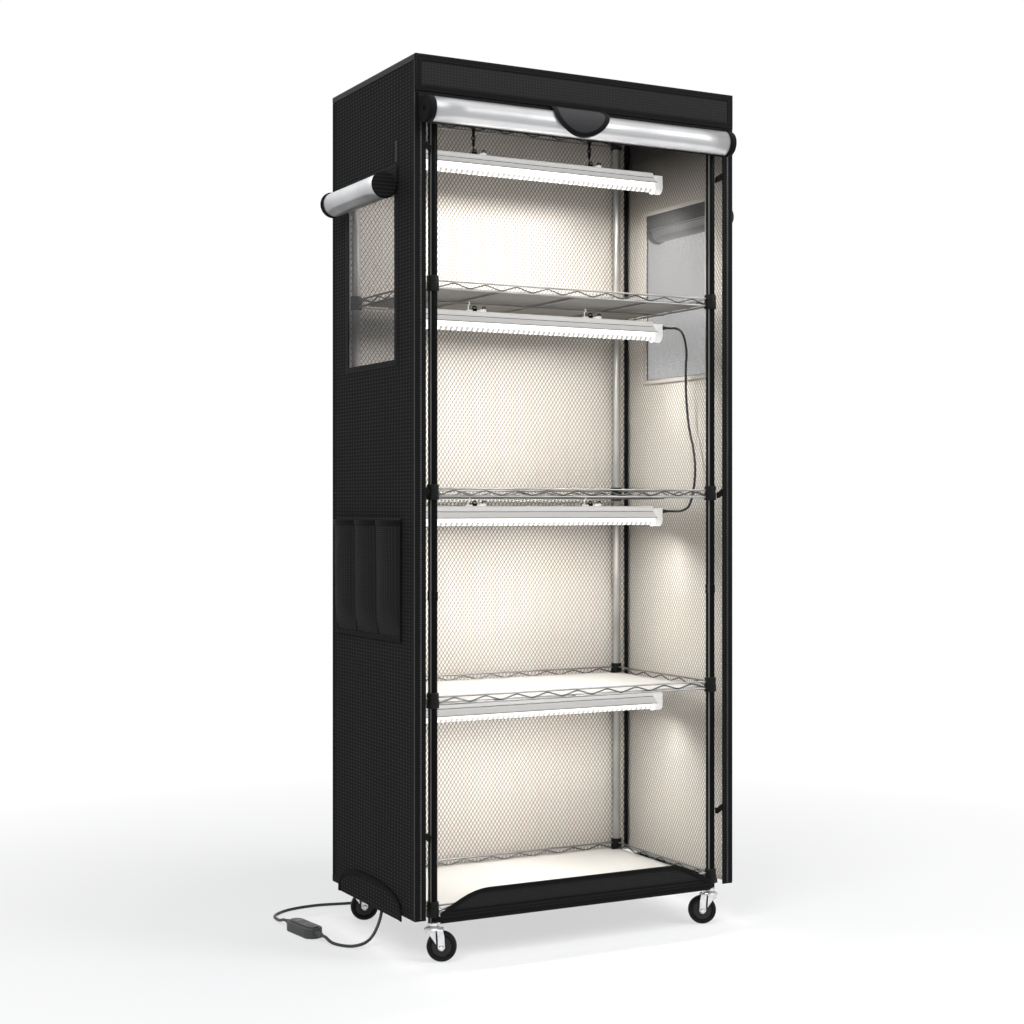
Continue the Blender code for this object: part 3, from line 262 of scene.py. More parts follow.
def film(name, base_share, low_share, middle_share, top_share, colour=(0.86, 0.86, 0.87)):
    """Smooth metallised film, rolled, with painted light and shade: each share is the painted brightness
    under, low, in the middle and on top.
    """
    mat, tree, shader = start_material(name, colour, 0.34, 0.6)
    place, _ = object_axes(tree)
    stretched = node(tree, "Mapping", Vector=place, Scale=(3.0, 60.0, 60.0)).outputs[0]
    crease = noise_at(tree, stretched, 2.0, 4.0)
    cloud = noise_at(tree, place, 14.0, 4.0)
    # painted light and shade: brightness set by which way each face looks, as light and reflections would
    # fall on the roll
    up = looking(tree)["Z"]
    under = spread(tree, up, -0.62, -0.46, base_share, low_share)
    over = spread(tree, up, -0.40, 0.30, 1.0, middle_share / low_share)
    crown = spread(tree, up, 0.45, 0.98, 1.0, top_share / middle_share)
    painted_bands = maths(tree, "MULTIPLY", maths(tree, "MULTIPLY", under, over), crown)
    painted_bands_mottled = maths(tree, "MULTIPLY", painted_bands, patchy(tree, cloud, 1.0, 0.88))
    paint(tree, shader, blend_colour(tree, painted_bands_mottled, (0.0, 0.0, 0.0), colour))
    roughen(tree, shader, patchy(tree, cloud, 0.36, 0.50))
    raise_bump(tree, shader, crease, 0.0005)
    return name, mat


def tape(name, colour, stitch, rib=0.0011, stitch_pitch=0.0042):
    """Sewn binding tape along its own length: cross ribs and a line of stitches near each edge."""
    mat, tree, shader = start_material(name, colour, 0.70, Specular_IOR_Level=0.06)
    uv = node(tree, "SeparateXYZ", Vector=node(tree, "TexCoord").outputs["UV"]).outputs
    length, across = uv["X"], uv["Y"]
    ribs = wave(tree, length, rib)
    from_edge = maths(tree, "PINGPONG", across, 0.5)
    from_line = maths(tree, "ABSOLUTE", maths(tree, "SUBTRACT", from_edge, 0.2))
    on_line = maths(tree, "LESS_THAN", from_line, 0.045)
    on_dash = maths(tree, "GREATER_THAN", wave(tree, length, stitch_pitch), -0.35)
    sewn = maths(tree, "MULTIPLY", on_line, on_dash)
    paint(tree, shader, blend_colour(tree, sewn, colour, stitch))
    fine = raise_bump(tree, shader, ribs, 0.00004)
    raise_bump(tree, shader, sewn, 0.0003, fine)
    return name, mat


def glowing_tube(name):
    """A frosted lamp tube with a row of emitters along its underside."""
    mat, tree, shader = start_material(name, (0.90, 0.90, 0.90), 0.28, Coat_Weight=0.3)
    _, split = object_axes(tree)
    under = spread(tree, looking(tree)["Z"], -0.15, -0.40, 0.0, 1.0)
    row = spread(tree, wave(tree, split["X"], 0.0105), 0.0, 0.5, 0.0, 1.0)
    lamp = maths(tree, "MULTIPLY", under, row)
    gap = maths(tree, "MULTIPLY", under, maths(tree, "SUBTRACT", 1.0, row))
    colour = blend_colour(tree, gap, (1.0, 0.985, 0.96), (0.46, 0.45, 0.44))
    paint(tree, shader, colour)
    plug(tree, shader.inputs["Emission Color"], colour)
    plug(tree, shader.inputs["Emission Strength"], maths(tree, "MULTIPLY_ADD", lamp, 0.9, 0.55))
    return name, mat


def bright_plate(name):
    """Bright chromium plate with painted reflection: light and dark bands painted by the way each face
    looks.
    """
    mat, tree, shader = start_material(name, (0.75, 0.75, 0.76), 0.14, 0.6)
    place, _ = object_axes(tree)
    # painted reflection: colour banded by how far each face looks up or down
    band = spread(tree, wave(tree, looking(tree)["Z"], 0.9), -0.5, 0.4, 0.0, 1.0)
    cloud = noise_at(tree, place, 60.0, 3.0)
    share = maths(tree, "MULTIPLY", band, patchy(tree, cloud, 0.75, 1.0))
    paint(tree, shader, blend_colour(tree, share, (0.10, 0.10, 0.105), (0.86, 0.86, 0.87)))
    roughen(tree, shader, patchy(tree, cloud, 0.11, 0.2))
    raise_bump(tree, shader, noise_at(tree, place, 300.0, 2.0), 0.00002)
    return name, mat


def post_with_painted_highlight(name):
    """Black enamelled tube with a painted highlight: a narrow light line painted on its left front side.
    """
    mat, tree, shader = start_material(name, (0.004, 0.004, 0.0042), 0.30, Specular_IOR_Level=0.04)
    place, _ = object_axes(tree)
    way = looking(tree)
    # painted highlight: a light line where the faces look towards the left front
    turn = maths(tree, "ARCTAN2", way["Y"], way["X"])
    off = maths(tree, "ABSOLUTE", maths(tree, "ADD", turn, math.radians(141)))
    line = spread(tree, off, math.radians(6), math.radians(15), 1.0, 0.0)
    cloud = noise_at(tree, place, 9.0, 5.0)
    share = maths(tree, "MULTIPLY", line, patchy(tree, cloud, 0.6, 1.0))
    paint(tree, shader, blend_colour(tree, share, (0.004, 0.004, 0.0042), (0.20, 0.20, 0.20)))
    raise_bump(tree, shader, noise_at(tree, place, 700.0, 2.0), 0.00003)
    return name, mat


# Materials
BLACK_CLOTH = ((0.0115, 0.0115, 0.0118), (0.034, 0.034, 0.0350))
PLATE = dict(grain=260.0, mottle=0.30, bump=0.00003)
MATS = dict([
    oxford("side_cloth", "YZ", *BLACK_CLOTH, (0.0120, 0.0062)),
    oxford("back_cloth", "XZ", *BLACK_CLOTH),
    oxford("roof_cloth", "XY", *BLACK_CLOTH),
    oxford("header_cloth", "XZ", (0.020, 0.020, 0.0206), (0.040, 0.040, 0.0412), (0.0060, 0.0050)),
    oxford("badge_cloth", "XZ", (0.040, 0.040, 0.0412), (0.056, 0.056, 0.0577), (0.0034, 0.0034)),
    oxford("sill_cloth", "XZ", (0.018, 0.018, 0.0185), (0.030, 0.030, 0.0310), (0.0050, 0.0050)),
    oxford("pocket_cloth", "YZ", (0.016, 0.016, 0.0165), (0.044, 0.044, 0.0450), (0.0072, 0.0036)),
    # the lining's last three numbers: where the painted top shade starts and ends, and how much colour is
    # left
    lining("side_lining", "YZ", 1.31, 1.45, 0.06),
    lining("back_lining", "XZ", 1.43, 1.58, 0.50),
    lining("roof_lining", "XY", 1.40, 1.50, 0.20),
    # each roll's painted light and shade: brightness under, low, in the middle and on top
    film("door_film", 1.0, 0.58, 0.36, 0.16),
    film("window_film", 0.22, 0.62, 0.97, 0.95),
    tape("black_tape", (0.0060, 0.0060, 0.0062), (0.020, 0.020, 0.0206)),
    tape("deep_tape", (0.0016, 0.0016, 0.0017), (0.006, 0.006, 0.0062)),
    tape("grey_tape", (0.060, 0.060, 0.062), (0.10, 0.10, 0.10)),
    tape("dim_tape", (0.015, 0.015, 0.0155), (0.030, 0.030, 0.031)),
    tape("inner_tape", (0.42, 0.40, 0.375), (0.30, 0.285, 0.27)),
    surface("net_dark", (0.035, 0.035, 0.037), 0.6, 0.0, grain=900.0, mottle=0.2, bump=0.00003),
    # painted light: the right window's net is the same net as the left, made grey and silvery as if lit
    surface("net_painted_lit", (0.15, 0.15, 0.155), 0.5, 0.2, grain=900.0, mottle=0.2, bump=0.00003),
    surface("black_steel", (0.004, 0.004, 0.0042), 0.30, grain=700.0, mottle=0.25, bump=0.00003,
            Coat_Weight=0.22, Coat_Roughness=0.05, Specular_IOR_Level=0.06),
    post_with_painted_highlight("front_post_painted_highlight"),
    # painted light: the rear posts are made a grey, bright copy of the black steel, as if lit
    surface("rear_post_painted_lit", (0.36, 0.355, 0.345), 0.42, 0.7, grain=700.0, mottle=0.25, bump=0.00003),
    surface("collar_plastic", (0.005, 0.005, 0.0052), 0.42, grain=600.0, bump=0.00006,
            Specular_IOR_Level=0.15),
    surface("shelf_wire", (0.25, 0.247, 0.242), 0.34, 0.9, patch=22.0, **PLATE),
    surface("zigzag_wire", (0.10, 0.099, 0.097), 0.36, 0.8, **PLATE),
    # the chrome's colour carries painted reflection bands
    bright_plate("chrome"),
    surface("rubber", (0.0035, 0.0035, 0.0036), 0.48, grain=420.0, mottle=0.25, bump=0.00008, patch=30.0,
            Specular_IOR_Level=0.16),
    surface("hub_plastic", (0.020, 0.020, 0.0206), 0.36, grain=500.0, bump=0.00005,
            Specular_IOR_Level=0.25),
    surface("liner", (0.46, 0.455, 0.44), 0.45, grain=300.0, mottle=0.05, bump=0.00006),
    # painted shade: the liner's underside is the same sheet, darkened as if shaded
    surface("liner_under_painted_shade", (0.20, 0.19, 0.175), 0.5, grain=300.0, mottle=0.08, bump=0.00006),
    # painted glow: the reflector housings give off light, though only the tubes are lamps
    surface("enamel_painted_glow", (0.80, 0.80, 0.795), 0.30, grain=450.0, mottle=0.04, bump=0.00004,
            Emission_Color=(1.0, 0.985, 0.96), Emission_Strength=0.42),
    # painted glow: end caps, cap rings and clip hooks give off light, though they are no lamps
    surface("cap_white_painted_glow", (0.86, 0.86, 0.86), 0.22, grain=350.0, mottle=0.03, bump=0.00003,
            Emission_Color=(1.0, 0.99, 0.97), Emission_Strength=0.45),
    glowing_tube("tube"),
    surface("cord", (0.017, 0.017, 0.018), 0.48, grain=650.0, mottle=0.2, bump=0.00006, patch=50.0),
    surface("plug", (0.018, 0.018, 0.019), 0.42, grain=600.0, mottle=0.2, bump=0.00005),
    surface("case", (0.050, 0.050, 0.052), 0.52, grain=1200.0, mottle=0.10, bump=0.00006, patch=30.0),
    surface("print", (0.48, 0.48, 0.49), 0.5, grain=900.0, mottle=0.06, bump=0.00001),
    surface("red", (0.16, 0.018, 0.018), 0.3, grain=700.0, mottle=0.2, bump=0.00002),
    surface("zip", (0.05, 0.05, 0.0515), 0.36, 0.3, grain=500.0, mottle=0.15, bump=0.00004),
])


# Mesh helpers
def link_new(name, data):
    obj = bpy.data.objects.new(name, data)
    bpy.context.scene.collection.objects.link(obj)
    return obj


def make_object(name, bm, *mats, angle=38):
    mesh = bpy.data.meshes.new(name)
    bm.to_mesh(mesh)
    bm.free()
    for mat in mats:
        mesh.materials.append(MATS[mat])
    mesh.shade_smooth()
    mesh.set_sharp_from_angle(angle=math.radians(angle))
    return link_new(name, mesh)


def finish_piece(obj, body="root", replaced=()):
    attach(obj, body)
    if replaced:
        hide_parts(*replaced)
    return obj


def closed_piece(name, bm, mats, body="root", replaced=(), merge=0.0):
    """A piece of closed forms: points closer than merge are joined, and faces look outwards."""
    if merge:
        bmesh.ops.remove_doubles(bm, verts=bm.verts, dist=merge)
    bmesh.ops.recalc_face_normals(bm, faces=bm.faces)
    return finish_piece(make_object(name, bm, *mats), body, replaced)


def cloth_object(name, bm, mats, thickness, angle=60):
    """An open sheet, thickened inwards from its outer face."""
    obj = make_object(name, bm, *mats, angle=angle)
    solid = obj.modifiers.new("cloth", "SOLIDIFY")
    solid.thickness = thickness
    solid.offset = -1.0
    solid.material_offset = len(mats) - 1
    return obj


def repaint(node_name, mat):
    """Give a solid that stays as built its finished material."""
    materials = frame["nodes"][node_name].data.materials
    materials.clear()
    materials.append(MATS[mat])


def join_lines(bm, lines):
    """Add faces between neighbouring lines of points."""
    for a, b in zip(lines, lines[1:]):
        for k in range(len(a) - 1):
            bm.faces.new((a[k], a[k + 1], b[k + 1], b[k]))


def face_outwards(bm, outward, index=0):
    """Turn an open sheet's faces so that the one with this index looks outward."""
    bm.normal_update()
    bm.faces.ensure_lookup_table()
    if bm.faces[index].normal.dot(Vector(outward)) < 0:
        bmesh.ops.reverse_faces(bm, faces=bm.faces)


def steps_between(low, high, size, marks=()):
    """Grid lines from low to high about size apart, with lines exactly on the marks."""
    stops = sorted({low, high, *marks})
    lines = [stops[0]]
    for a, b in zip(stops, stops[1:]):
        count = max(1, round((b - a) / size))
        lines += [a + (b - a) * i / count for i in range(1, count + 1)]
    return lines


def mirrored(profile):
    """A half section followed by its mirror image about the middle plane."""
    return profile + [(radius, -z) for radius, z in reversed(profile)]


def turned(bm, profile, place, steps=32, slot=0):
    """Add a turned form; the profile is (radius, distance along Z), and place puts Z on its axis."""
    rings = []
    for radius, z in profile:
        if radius < 1e-7:
            rings.append([bm.verts.new(place @ Vector((0, 0, z)))])
        else:
            rings.append([bm.verts.new(place @ Vector((radius * math.cos(math.tau * k / steps),
                                                       radius * math.sin(math.tau * k / steps), z)))
                          for k in range(steps)])
    for a, b in zip(rings, rings[1:]):
        for k in range(steps):
            following = (k + 1) % steps
            corners = [a[k % len(a)], a[following % len(a)], b[following % len(b)], b[k % len(b)]]
            corners = list(dict.fromkeys(corners))
            if len(corners) > 2:
                bm.faces.new(corners).material_index = slot


def inset_ring(ring, inset):
    """A closed outline moved inwards; the outline runs anticlockwise."""
    moved = []
    for i, (x, y) in enumerate(ring):
        before, after = ring[i - 1], ring[(i + 1) % len(ring)]
        first = Vector((x - before[0], y - before[1])).normalized()
        second = Vector((after[0] - x, after[1] - y)).normalized()
        way = Vector((-(first + second).y, (first + second).x)).normalized()
        square = max(0.35, way.dot(Vector((-first.y, first.x))))
        moved.append((x + way.x * inset / square, y + way.y * inset / square))
    return moved


def prism(bm, ring, levels, place, slot=0):
    """Add a closed prism; each level is (inset of the outline, height), bottom to top."""
    rings = [[bm.verts.new(place @ Vector((x, y, z))) for x, y in inset_ring(ring, inset)]
             for inset, z in levels]
    for a, b in zip(rings, rings[1:]):
        for k in range(len(ring)):
            following = (k + 1) % len(ring)
            bm.faces.new((a[k], a[following], b[following], b[k])).material_index = slot
    bm.faces.new(rings[0][::-1]).material_index = slot
    bm.faces.new(rings[-1]).material_index = slot


def block(bm, low, high, soft=0.0004, slot=0):
    """Add a box between two corners, its upright and level edges slightly rounded."""
    ring = [(low[0], low[1]), (high[0], low[1]), (high[0], high[1]), (low[0], high[1])]
    levels = [(soft, low[2]), (0, low[2] + soft), (0, high[2] - soft), (soft, high[2])]
    prism(bm, ring, levels, Matrix.Identity(4), slot)


def arc(centre, radius, start, end, count):
    """Points on an arc, angles in degrees."""
    return [(centre[0] + radius * math.cos(math.radians(start + (end - start) * i / count)),
             centre[1] + radius * math.sin(math.radians(start + (end - start) * i / count)))
            for i in range(count + 1)]


def round_corners(points, radius, count=4):
    """A path in space with each corner replaced by a short curve."""
    points = [Vector(p) for p in points]
    done = []
    for i, p in enumerate(points):
        if i in (0, len(points) - 1):
            done.append(p)
            continue
        before, after = points[i - 1], points[i + 1]
        a = p + (before - p).normalized() * min(radius, (before - p).length * 0.48)
        b = p + (after - p).normalized() * min(radius, (after - p).length * 0.48)
        for k in range(count + 1):
            t = k / count
            done.append(a.lerp(p, t).lerp(p.lerp(b, t), t))
    return done


def sweep(bm, path, radius, sides, closed=False, slot=0, up=None):
    """Add a round wire along a path; up keeps its section from turning."""
    path = [Vector(p) for p in path]
    count = len(path)
    guide = Vector(up) if up is not None else None
    turns = [math.tau * k / sides for k in range(sides)]
    rings = []
    for i, p in enumerate(path):
        before = path[i - 1] if (i or closed) else p
        after = path[(i + 1) % count] if (i < count - 1 or closed) else p
        way = (after - before).normalized()
        if guide is None:
            guide = way.orthogonal()
        side = way.cross(guide).normalized()
        lift = side.cross(way).normalized()
        if up is None:
            guide = lift
        rings.append([bm.verts.new(p + side * radius * math.cos(t) + lift * radius * math.sin(t))
                      for t in turns])
    pairs = list(zip(rings, rings[1:])) + ([(rings[-1], rings[0])] if closed else [])
    for a, b in pairs:
        for k in range(sides):
            following = (k + 1) % sides
            bm.faces.new((a[k], a[following], b[following], b[k])).material_index = slot
    if not closed:
        bm.faces.new(rings[0]).material_index = slot
        bm.faces.new(rings[-1][::-1]).material_index = slot


def ribbon(bm, path, normal, width, thick, closed=False):
    """Add a sewn tape on a face: a low rounded section, mitred at corners, with its length as U."""
    uv = bm.loops.layers.uv.verify()
    section = [(-0.5, 0.0), (-0.46, 0.75), (-0.3, 1.0), (0.3, 1.0), (0.46, 0.75), (0.5, 0.0)]
    points = [Vector(p) for p in path]
    normals = normal if isinstance(normal, list) else [Vector(normal)] * len(points)
    count = len(points)
    rings, lengths = [], [0.0]
    for i, p in enumerate(points):
        up = normals[i]
        before = (p - points[i - 1]).normalized() if (i or closed) else None
        after = (points[(i + 1) % count] - p).normalized() if (i < count - 1 or closed) else None
        way = ((before or after) + (after or before)).normalized()
        side = way.cross(up).normalized()
        square = max(0.4, side.dot((before or after).cross(up).normalized()))
        rings.append([bm.verts.new(p + side * width * s / square + up * thick * h) for s, h in section])
        if i:
            lengths.append(lengths[-1] + (p - points[i - 1]).length)
    lengths.append(lengths[-1] + (points[0] - points[-1]).length)
    segments = [(i, (i + 1) % count, lengths[i], lengths[i + 1])
                for i in range(count if closed else count - 1)]
    for a, b, start, end in segments:
        for k in range(len(section)):
            following = (k + 1) % len(section)
            face = bm.faces.new((rings[a][k], rings[b][k], rings[b][following], rings[a][following]))
            v0, v1 = section[k][0] + 0.5, section[following][0] + 0.5
            for loop, value in zip(face.loops, ((start, v0), (end, v0), (end, v1), (start, v1))):
                loop[uv].uv = value
    if not closed:
        bm.faces.new(rings[0])
        bm.faces.new(rings[-1][::-1])


def tape_piece(name, *runs, mat="black_tape", slot="cover_fabric", body="root"):
    """A piece of one or more tapes; each run is (path, normal, width, thick), and True if it is closed."""
    bm = bmesh.new()
    for run in runs:
        ribbon(bm, *run)
    return closed_piece(name, bm, (mat,), body)


def panel(name, us, vs, place, outward, mats, hole=None, thickness=WALL):
    """A cloth panel on a grid, lined on its inner side; place(u, v) is a point of its outer face."""
    bm = bmesh.new()
    rows = [[bm.verts.new(place(u, v)) for u in us] for v in vs]
    for j, (v0, v1) in enumerate(zip(vs, vs[1:])):
        for i, (u0, u1) in enumerate(zip(us, us[1:])):
            if hole is None or not hole((u0 + u1) / 2, (v0 + v1) / 2):
                bm.faces.new((rows[j][i], rows[j][i + 1], rows[j + 1][i + 1], rows[j + 1][i]))
    bmesh.ops.delete(bm, geom=[v for v in bm.verts if not v.link_faces], context="VERTS")
    face_outwards(bm, outward)
    return cloth_object(name, bm, mats, thickness)


def ease(distance, reach):
    """0 at an edge, rising smoothly to 1 at reach from it."""
    t = max(0.0, min(1.0, distance / reach))
    return t * t * (3 - 2 * t)


def ripple(point, size, seed):
    """A smooth random height for slack in cloth, from -1 to 1."""
    return noise.noise(Vector(point) / size + Vector((seed, seed * 0.7, 0)))


# Camera and light
def camera():
    """The photograph's view: from the left front, a little above half height."""
    data = bpy.data.cameras.new("view")
    data.lens = 60.76
    data.sensor_width = 36.0
    data.shift_x = -1.7 / 1024
    data.shift_y = -6.2 / 1024
    data.clip_end = 60.0
    obj = link_new("view", data)
    obj.location = (-1.5273, -2.76425, 0.7638)
    obj.rotation_euler = (math.radians(90), 0, math.radians(-28.099))
    bpy.context.scene.camera = obj


def lamp(name, at, aim, size, power, colour=(1.0, 1.0, 1.0)):
    data = bpy.data.lights.new(name, "AREA")
    data.shape = "RECTANGLE"
    data.size, data.size_y = size
    data.energy = power
    data.color = colour
    obj = link_new(name, data)
    obj.location = at
    obj.rotation_euler = (Vector(aim) - Vector(at)).to_track_quat("-Z", "Y").to_euler()
    obj.visible_camera = False
    return obj


def seen_share(tree):
    """1 for what the camera, a gloss or a clear surface sees, and 0 for light that falls on things."""
    path = node(tree, "LightPath").outputs
    both = maths(tree, "MAXIMUM", path["Is Camera Ray"], path["Is Glossy Ray"])
    return maths(tree, "MAXIMUM", both, path["Is Transmission Ray"])


def studio():
    """A white room: pale floor that keeps a soft shadow, white sky where it is seen, three soft lamps."""
    world = bpy.data.worlds.new("room")
    bpy.context.scene.world = world
    world.use_nodes = True
    tree = world.node_tree
    share = seen_share(tree)
    background = tree.nodes["Background"]
    plug(tree, background.inputs["Color"], blend_colour(tree, share, (0.92, 0.96, 1.0), (1.0, 1.0, 1.0)))
    plug(tree, background.inputs["Strength"], spread(tree, share, 0.0, 1.0, 0.24, 1.0))
    mat, tree, shader = start_material("floor", (0.86, 0.86, 0.87), 0.9)
    place, _ = object_axes(tree)
    share = seen_share(tree)
    cloud = noise_at(tree, place, 3.0, 3.0)
    paint(tree, shader, blend_colour(tree, cloud, (0.85, 0.85, 0.86), (0.88, 0.88, 0.885)))
    glow = node(tree, "Emission", Color=(1.0, 1.0, 1.0), Strength=1.0).outputs[0]
    away = node(tree, "VectorMath", Vector=place)
    away.operation = "LENGTH"
    far = maths(tree, "MULTIPLY", spread(tree, away.outputs["Value"], 0.7, 1.8, 0.60, 1.0), share)
    mixer = node(tree, "MixShader", Fac=far)
    tree.links.new(shader.outputs[0], mixer.inputs[1])
    tree.links.new(glow, mixer.inputs[2])
    tree.links.new(mixer.outputs[0], tree.nodes["Material Output"].inputs["Surface"])
    bm = bmesh.new()
    bmesh.ops.create_grid(bm, x_segments=4, y_segments=4, size=9.0)
    mesh = bpy.data.meshes.new("floor")
    bm.to_mesh(mesh)
    bm.free()
    mesh.materials.append(mat)
    floor = link_new("floor", mesh)
    floor.location.z = -0.0006
    lamp("key", (2.6, -2.9, 2.9), (0, 0, 0.7), (1.8, 1.8), 105)
    lamp("fill", (-2.3, -1.6, 3.2), (0, 0, 1.4), (1.8, 1.8), 62, (0.97, 0.985, 1.0))
    lamp("top", (0.3, -0.6, 3.4), (0, 0, 1.0), (2.4, 2.4), 42)


def tier_lamps():
    """The light that the strip lights throw on their tiers."""
    for number, power in enumerate((1.9, 2.2, 2.1, 3.2), 1):
        low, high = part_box(f"light_{number}_tube")
        centre = (low + high) / 2
        obj = lamp(f"tier_lamp_{number}", (centre.x, centre.y, low.z - 0.004),
                   (centre.x, centre.y + 0.24, low.z - 1.0), (high.x - low.x, 0.012), power,
                   (1.0, 0.97, 0.93))
        obj.data.spread = math.radians(158)
        if number == 4:
            obj.parent = frame["bodies"]["top_light"]
            obj.matrix_parent_inverse = obj.parent.matrix_world.inverted()


# Cords
def between(points, knots, t):
    """A point of the smooth curve between the second and third of four points."""
    for width in (1, 2):
        points = [points[i].lerp(points[i + 1], (t - knots[i]) / (knots[i + width] - knots[i]))
                  for i in range(len(points) - 1)]
    share = (t - knots[1]) / (knots[2] - knots[1])
    return points[0].lerp(points[1], share)


def smooth_route(points, step):
    """Evenly spaced points on a smooth curve through the route's own points."""
    route = [Vector(p) for p in points]
    ends = [route[0] * 2 - route[1]] + route + [route[-1] * 2 - route[-2]]
    fine = []
    for i in range(1, len(ends) - 2):
        four = ends[i - 1:i + 3]
        knots = [0.0]
        for a, b in zip(four, four[1:]):
            knots.append(knots[-1] + max(1e-5, (b - a).length) ** 0.5)
        for k in range(24):
            fine.append(between(four, knots, knots[1] + (knots[2] - knots[1]) * k / 24))
    fine.append(route[-1])
    lengths = [0.0]
    for a, b in zip(fine, fine[1:]):
        lengths.append(lengths[-1] + (b - a).length)
    count = max(2, round(lengths[-1] / step))
    even = []
    seat = 0
    for i in range(count + 1):
        want = lengths[-1] * i / count
        while seat < len(lengths) - 2 and lengths[seat + 1] < want:
            seat += 1
        span = lengths[seat + 1] - lengths[seat]
        even.append(fine[seat].lerp(fine[seat + 1], (want - lengths[seat]) / span if span else 0))
    return even


def straight_ends(points, diameter):
    """The route's smooth points, with a straight run of one diameter at each end."""
    route = [Vector(p) for p in points]
    head = route[0] + (route[1] - route[0]).normalized() * diameter
    tail = route[-1] + (route[-2] - route[-1]).normalized() * diameter
    return [route[0]] + smooth_route([head] + route[1:-1] + [tail], 1.2 * diameter) + [route[-1]]


def cord_piece(name, points, diameter, replaced):
    curve = bpy.data.curves.new(name, "CURVE")
    curve.dimensions = "3D"
    curve.bevel_depth = diameter / 2
    curve.bevel_resolution = 4
    curve.use_fill_caps = True
    spline = curve.splines.new("POLY")
    spline.points.add(len(points) - 1)
    for point, co in zip(spline.points, points):
        point.co = (*co, 1)
    curve.materials.append(MATS["cord"])
    obj = link_new(name, curve)
    spline.use_smooth = True
    finish_piece(obj, replaced=replaced)


LIGHT_L = 2 * (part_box("light_1_housing")[1].x)
LIGHT_AXIS_Y = middle("light_1_tube").y
PLUG_L = 0.016
CASE_L = 0.095
CASE_H = 0.020
RELIEF_L = 0.020
RELIEF_END = CASE_L / 2 - 0.0010 + RELIEF_L + CLEAR
CASE_TURN = 97.0
CASE_AT = Vector((-HALF_W - 0.084, FRONT + 0.288, 0))
CASE_FRAME = Matrix.Translation(CASE_AT) @ Matrix.Rotation(math.radians(CASE_TURN), 4, "Z")
COIL_AT = Vector((-0.140, BACK + 0.052, 0))
COIL_TURNS = 4
COIL_POINTS = 24
COIL_R_OUT = 0.0385
COIL_PITCH = 0.0061
COIL_TAIL = 0.027


def light_top(number):
    """The top of a light's spine, worked from its tube."""
    return middle(f"light_{number}_tube").z + 0.0265


def light_end(number, sign):
    return Vector((sign * LIGHT_L / 2, LIGHT_AXIS_Y, light_top(number) - 0.0095))


def link_route():
    """Out of the third light's plug, past the shelf's edge, and back into the second light's plug."""
    start = light_end(3, 1) + Vector((CLEAR + PLUG_L + CLEAR, 0, 0))
    end = light_end(2, 1) + Vector((CLEAR + PLUG_L + CLEAR, 0, 0))
    beside = POLE_X + 0.0195
    y = LIGHT_AXIS_Y
    return [start, start + Vector((0.007, 0, 0)), (beside + 0.0005, y - 0.0140, 1.1020),
            (beside, y - 0.0360, 1.0900), (beside, y - 0.0480, 1.0600), (beside, y - 0.0460, 1.0150),
            (beside, y - 0.0480, 0.9650), (beside, y - 0.0570, 0.9130), (beside, y - 0.0720, 0.8700),
            (beside, y - 0.0780, 0.8330), (beside, y - 0.0720, 0.7930), (beside, y - 0.0580, 0.7640),
            (beside, y - 0.0360, 0.7550), (beside + 0.0005, y - 0.0140, 0.7532),
            end + Vector((0.007, 0, 0)), end]


def lead_route_in():
    """From the lowest light down inside the left wall, under the hem and along the floor to the timer."""
    start = light_end(1, -1) + Vector((-0.0085, 0, -0.0070 - CLEAR))
    floor = LEAD_D / 2
    wall = -(POLE_X + 0.0210)
    y = LIGHT_AXIS_Y
    return [start, start + Vector((0, 0, -0.016)), (wall + 0.016, y + 0.001, start.z - 0.052),
            (wall + 0.005, y + 0.002, start.z - 0.110), (wall, y + 0.003, 0.210),
            (wall, y + 0.001, 0.120), (wall - 0.003, y - 0.003, 0.072), (wall - 0.014, y - 0.010, 0.036),
            (wall - 0.036, y - 0.018, 0.011), (wall - 0.062, y - 0.018, floor + 0.0014),
            CASE_FRAME @ Vector((-RELIEF_END - 0.034, -0.0020, floor + 0.0010)),
            CASE_FRAME @ Vector((-RELIEF_END - 0.010, 0, CASE_H / 2)),
            CASE_FRAME @ Vector((-RELIEF_END, 0, CASE_H / 2))]


def coil_points():
    """The unused length: two spiral layers, inwards on the floor and outwards on top."""
    total = COIL_TURNS * COIL_POINTS
    points = []
    for i in range(total + 1):
        turn = i / COIL_POINTS
        radius = COIL_R_OUT - COIL_PITCH * min(turn, COIL_TURNS - turn)
        climb = min(1.0, max(0.0, (turn - COIL_TURNS / 2 + 0.25) / 0.5))
        rise = climb * climb * (3 - 2 * climb)
        z = LEAD_D / 2 + rise * (LEAD_D + 0.0006)
        angle = math.radians(90.0 - 360 * turn)
        points.append(COIL_AT + Vector((radius * math.cos(angle), radius * math.sin(angle), z)))
    return points


def lead_route_out(coil_start, coil_way):
    """From the timer along the floor, round the back corner and up to the coil."""
    floor = LEAD_D / 2
    return [CASE_FRAME @ Vector((RELIEF_END, 0, CASE_H / 2)),
            CASE_FRAME @ Vector((RELIEF_END + 0.010, 0, CASE_H / 2)),
            CASE_FRAME @ Vector((RELIEF_END + 0.036, -0.003, floor + 0.0010)),
            (-0.408, BACK + 0.068, floor), (-0.372, BACK + 0.100, floor), (-0.310, BACK + 0.112, floor),
            (-0.240, BACK + 0.098, floor), coil_start - coil_way * 0.024, coil_start - coil_way * CLEAR]


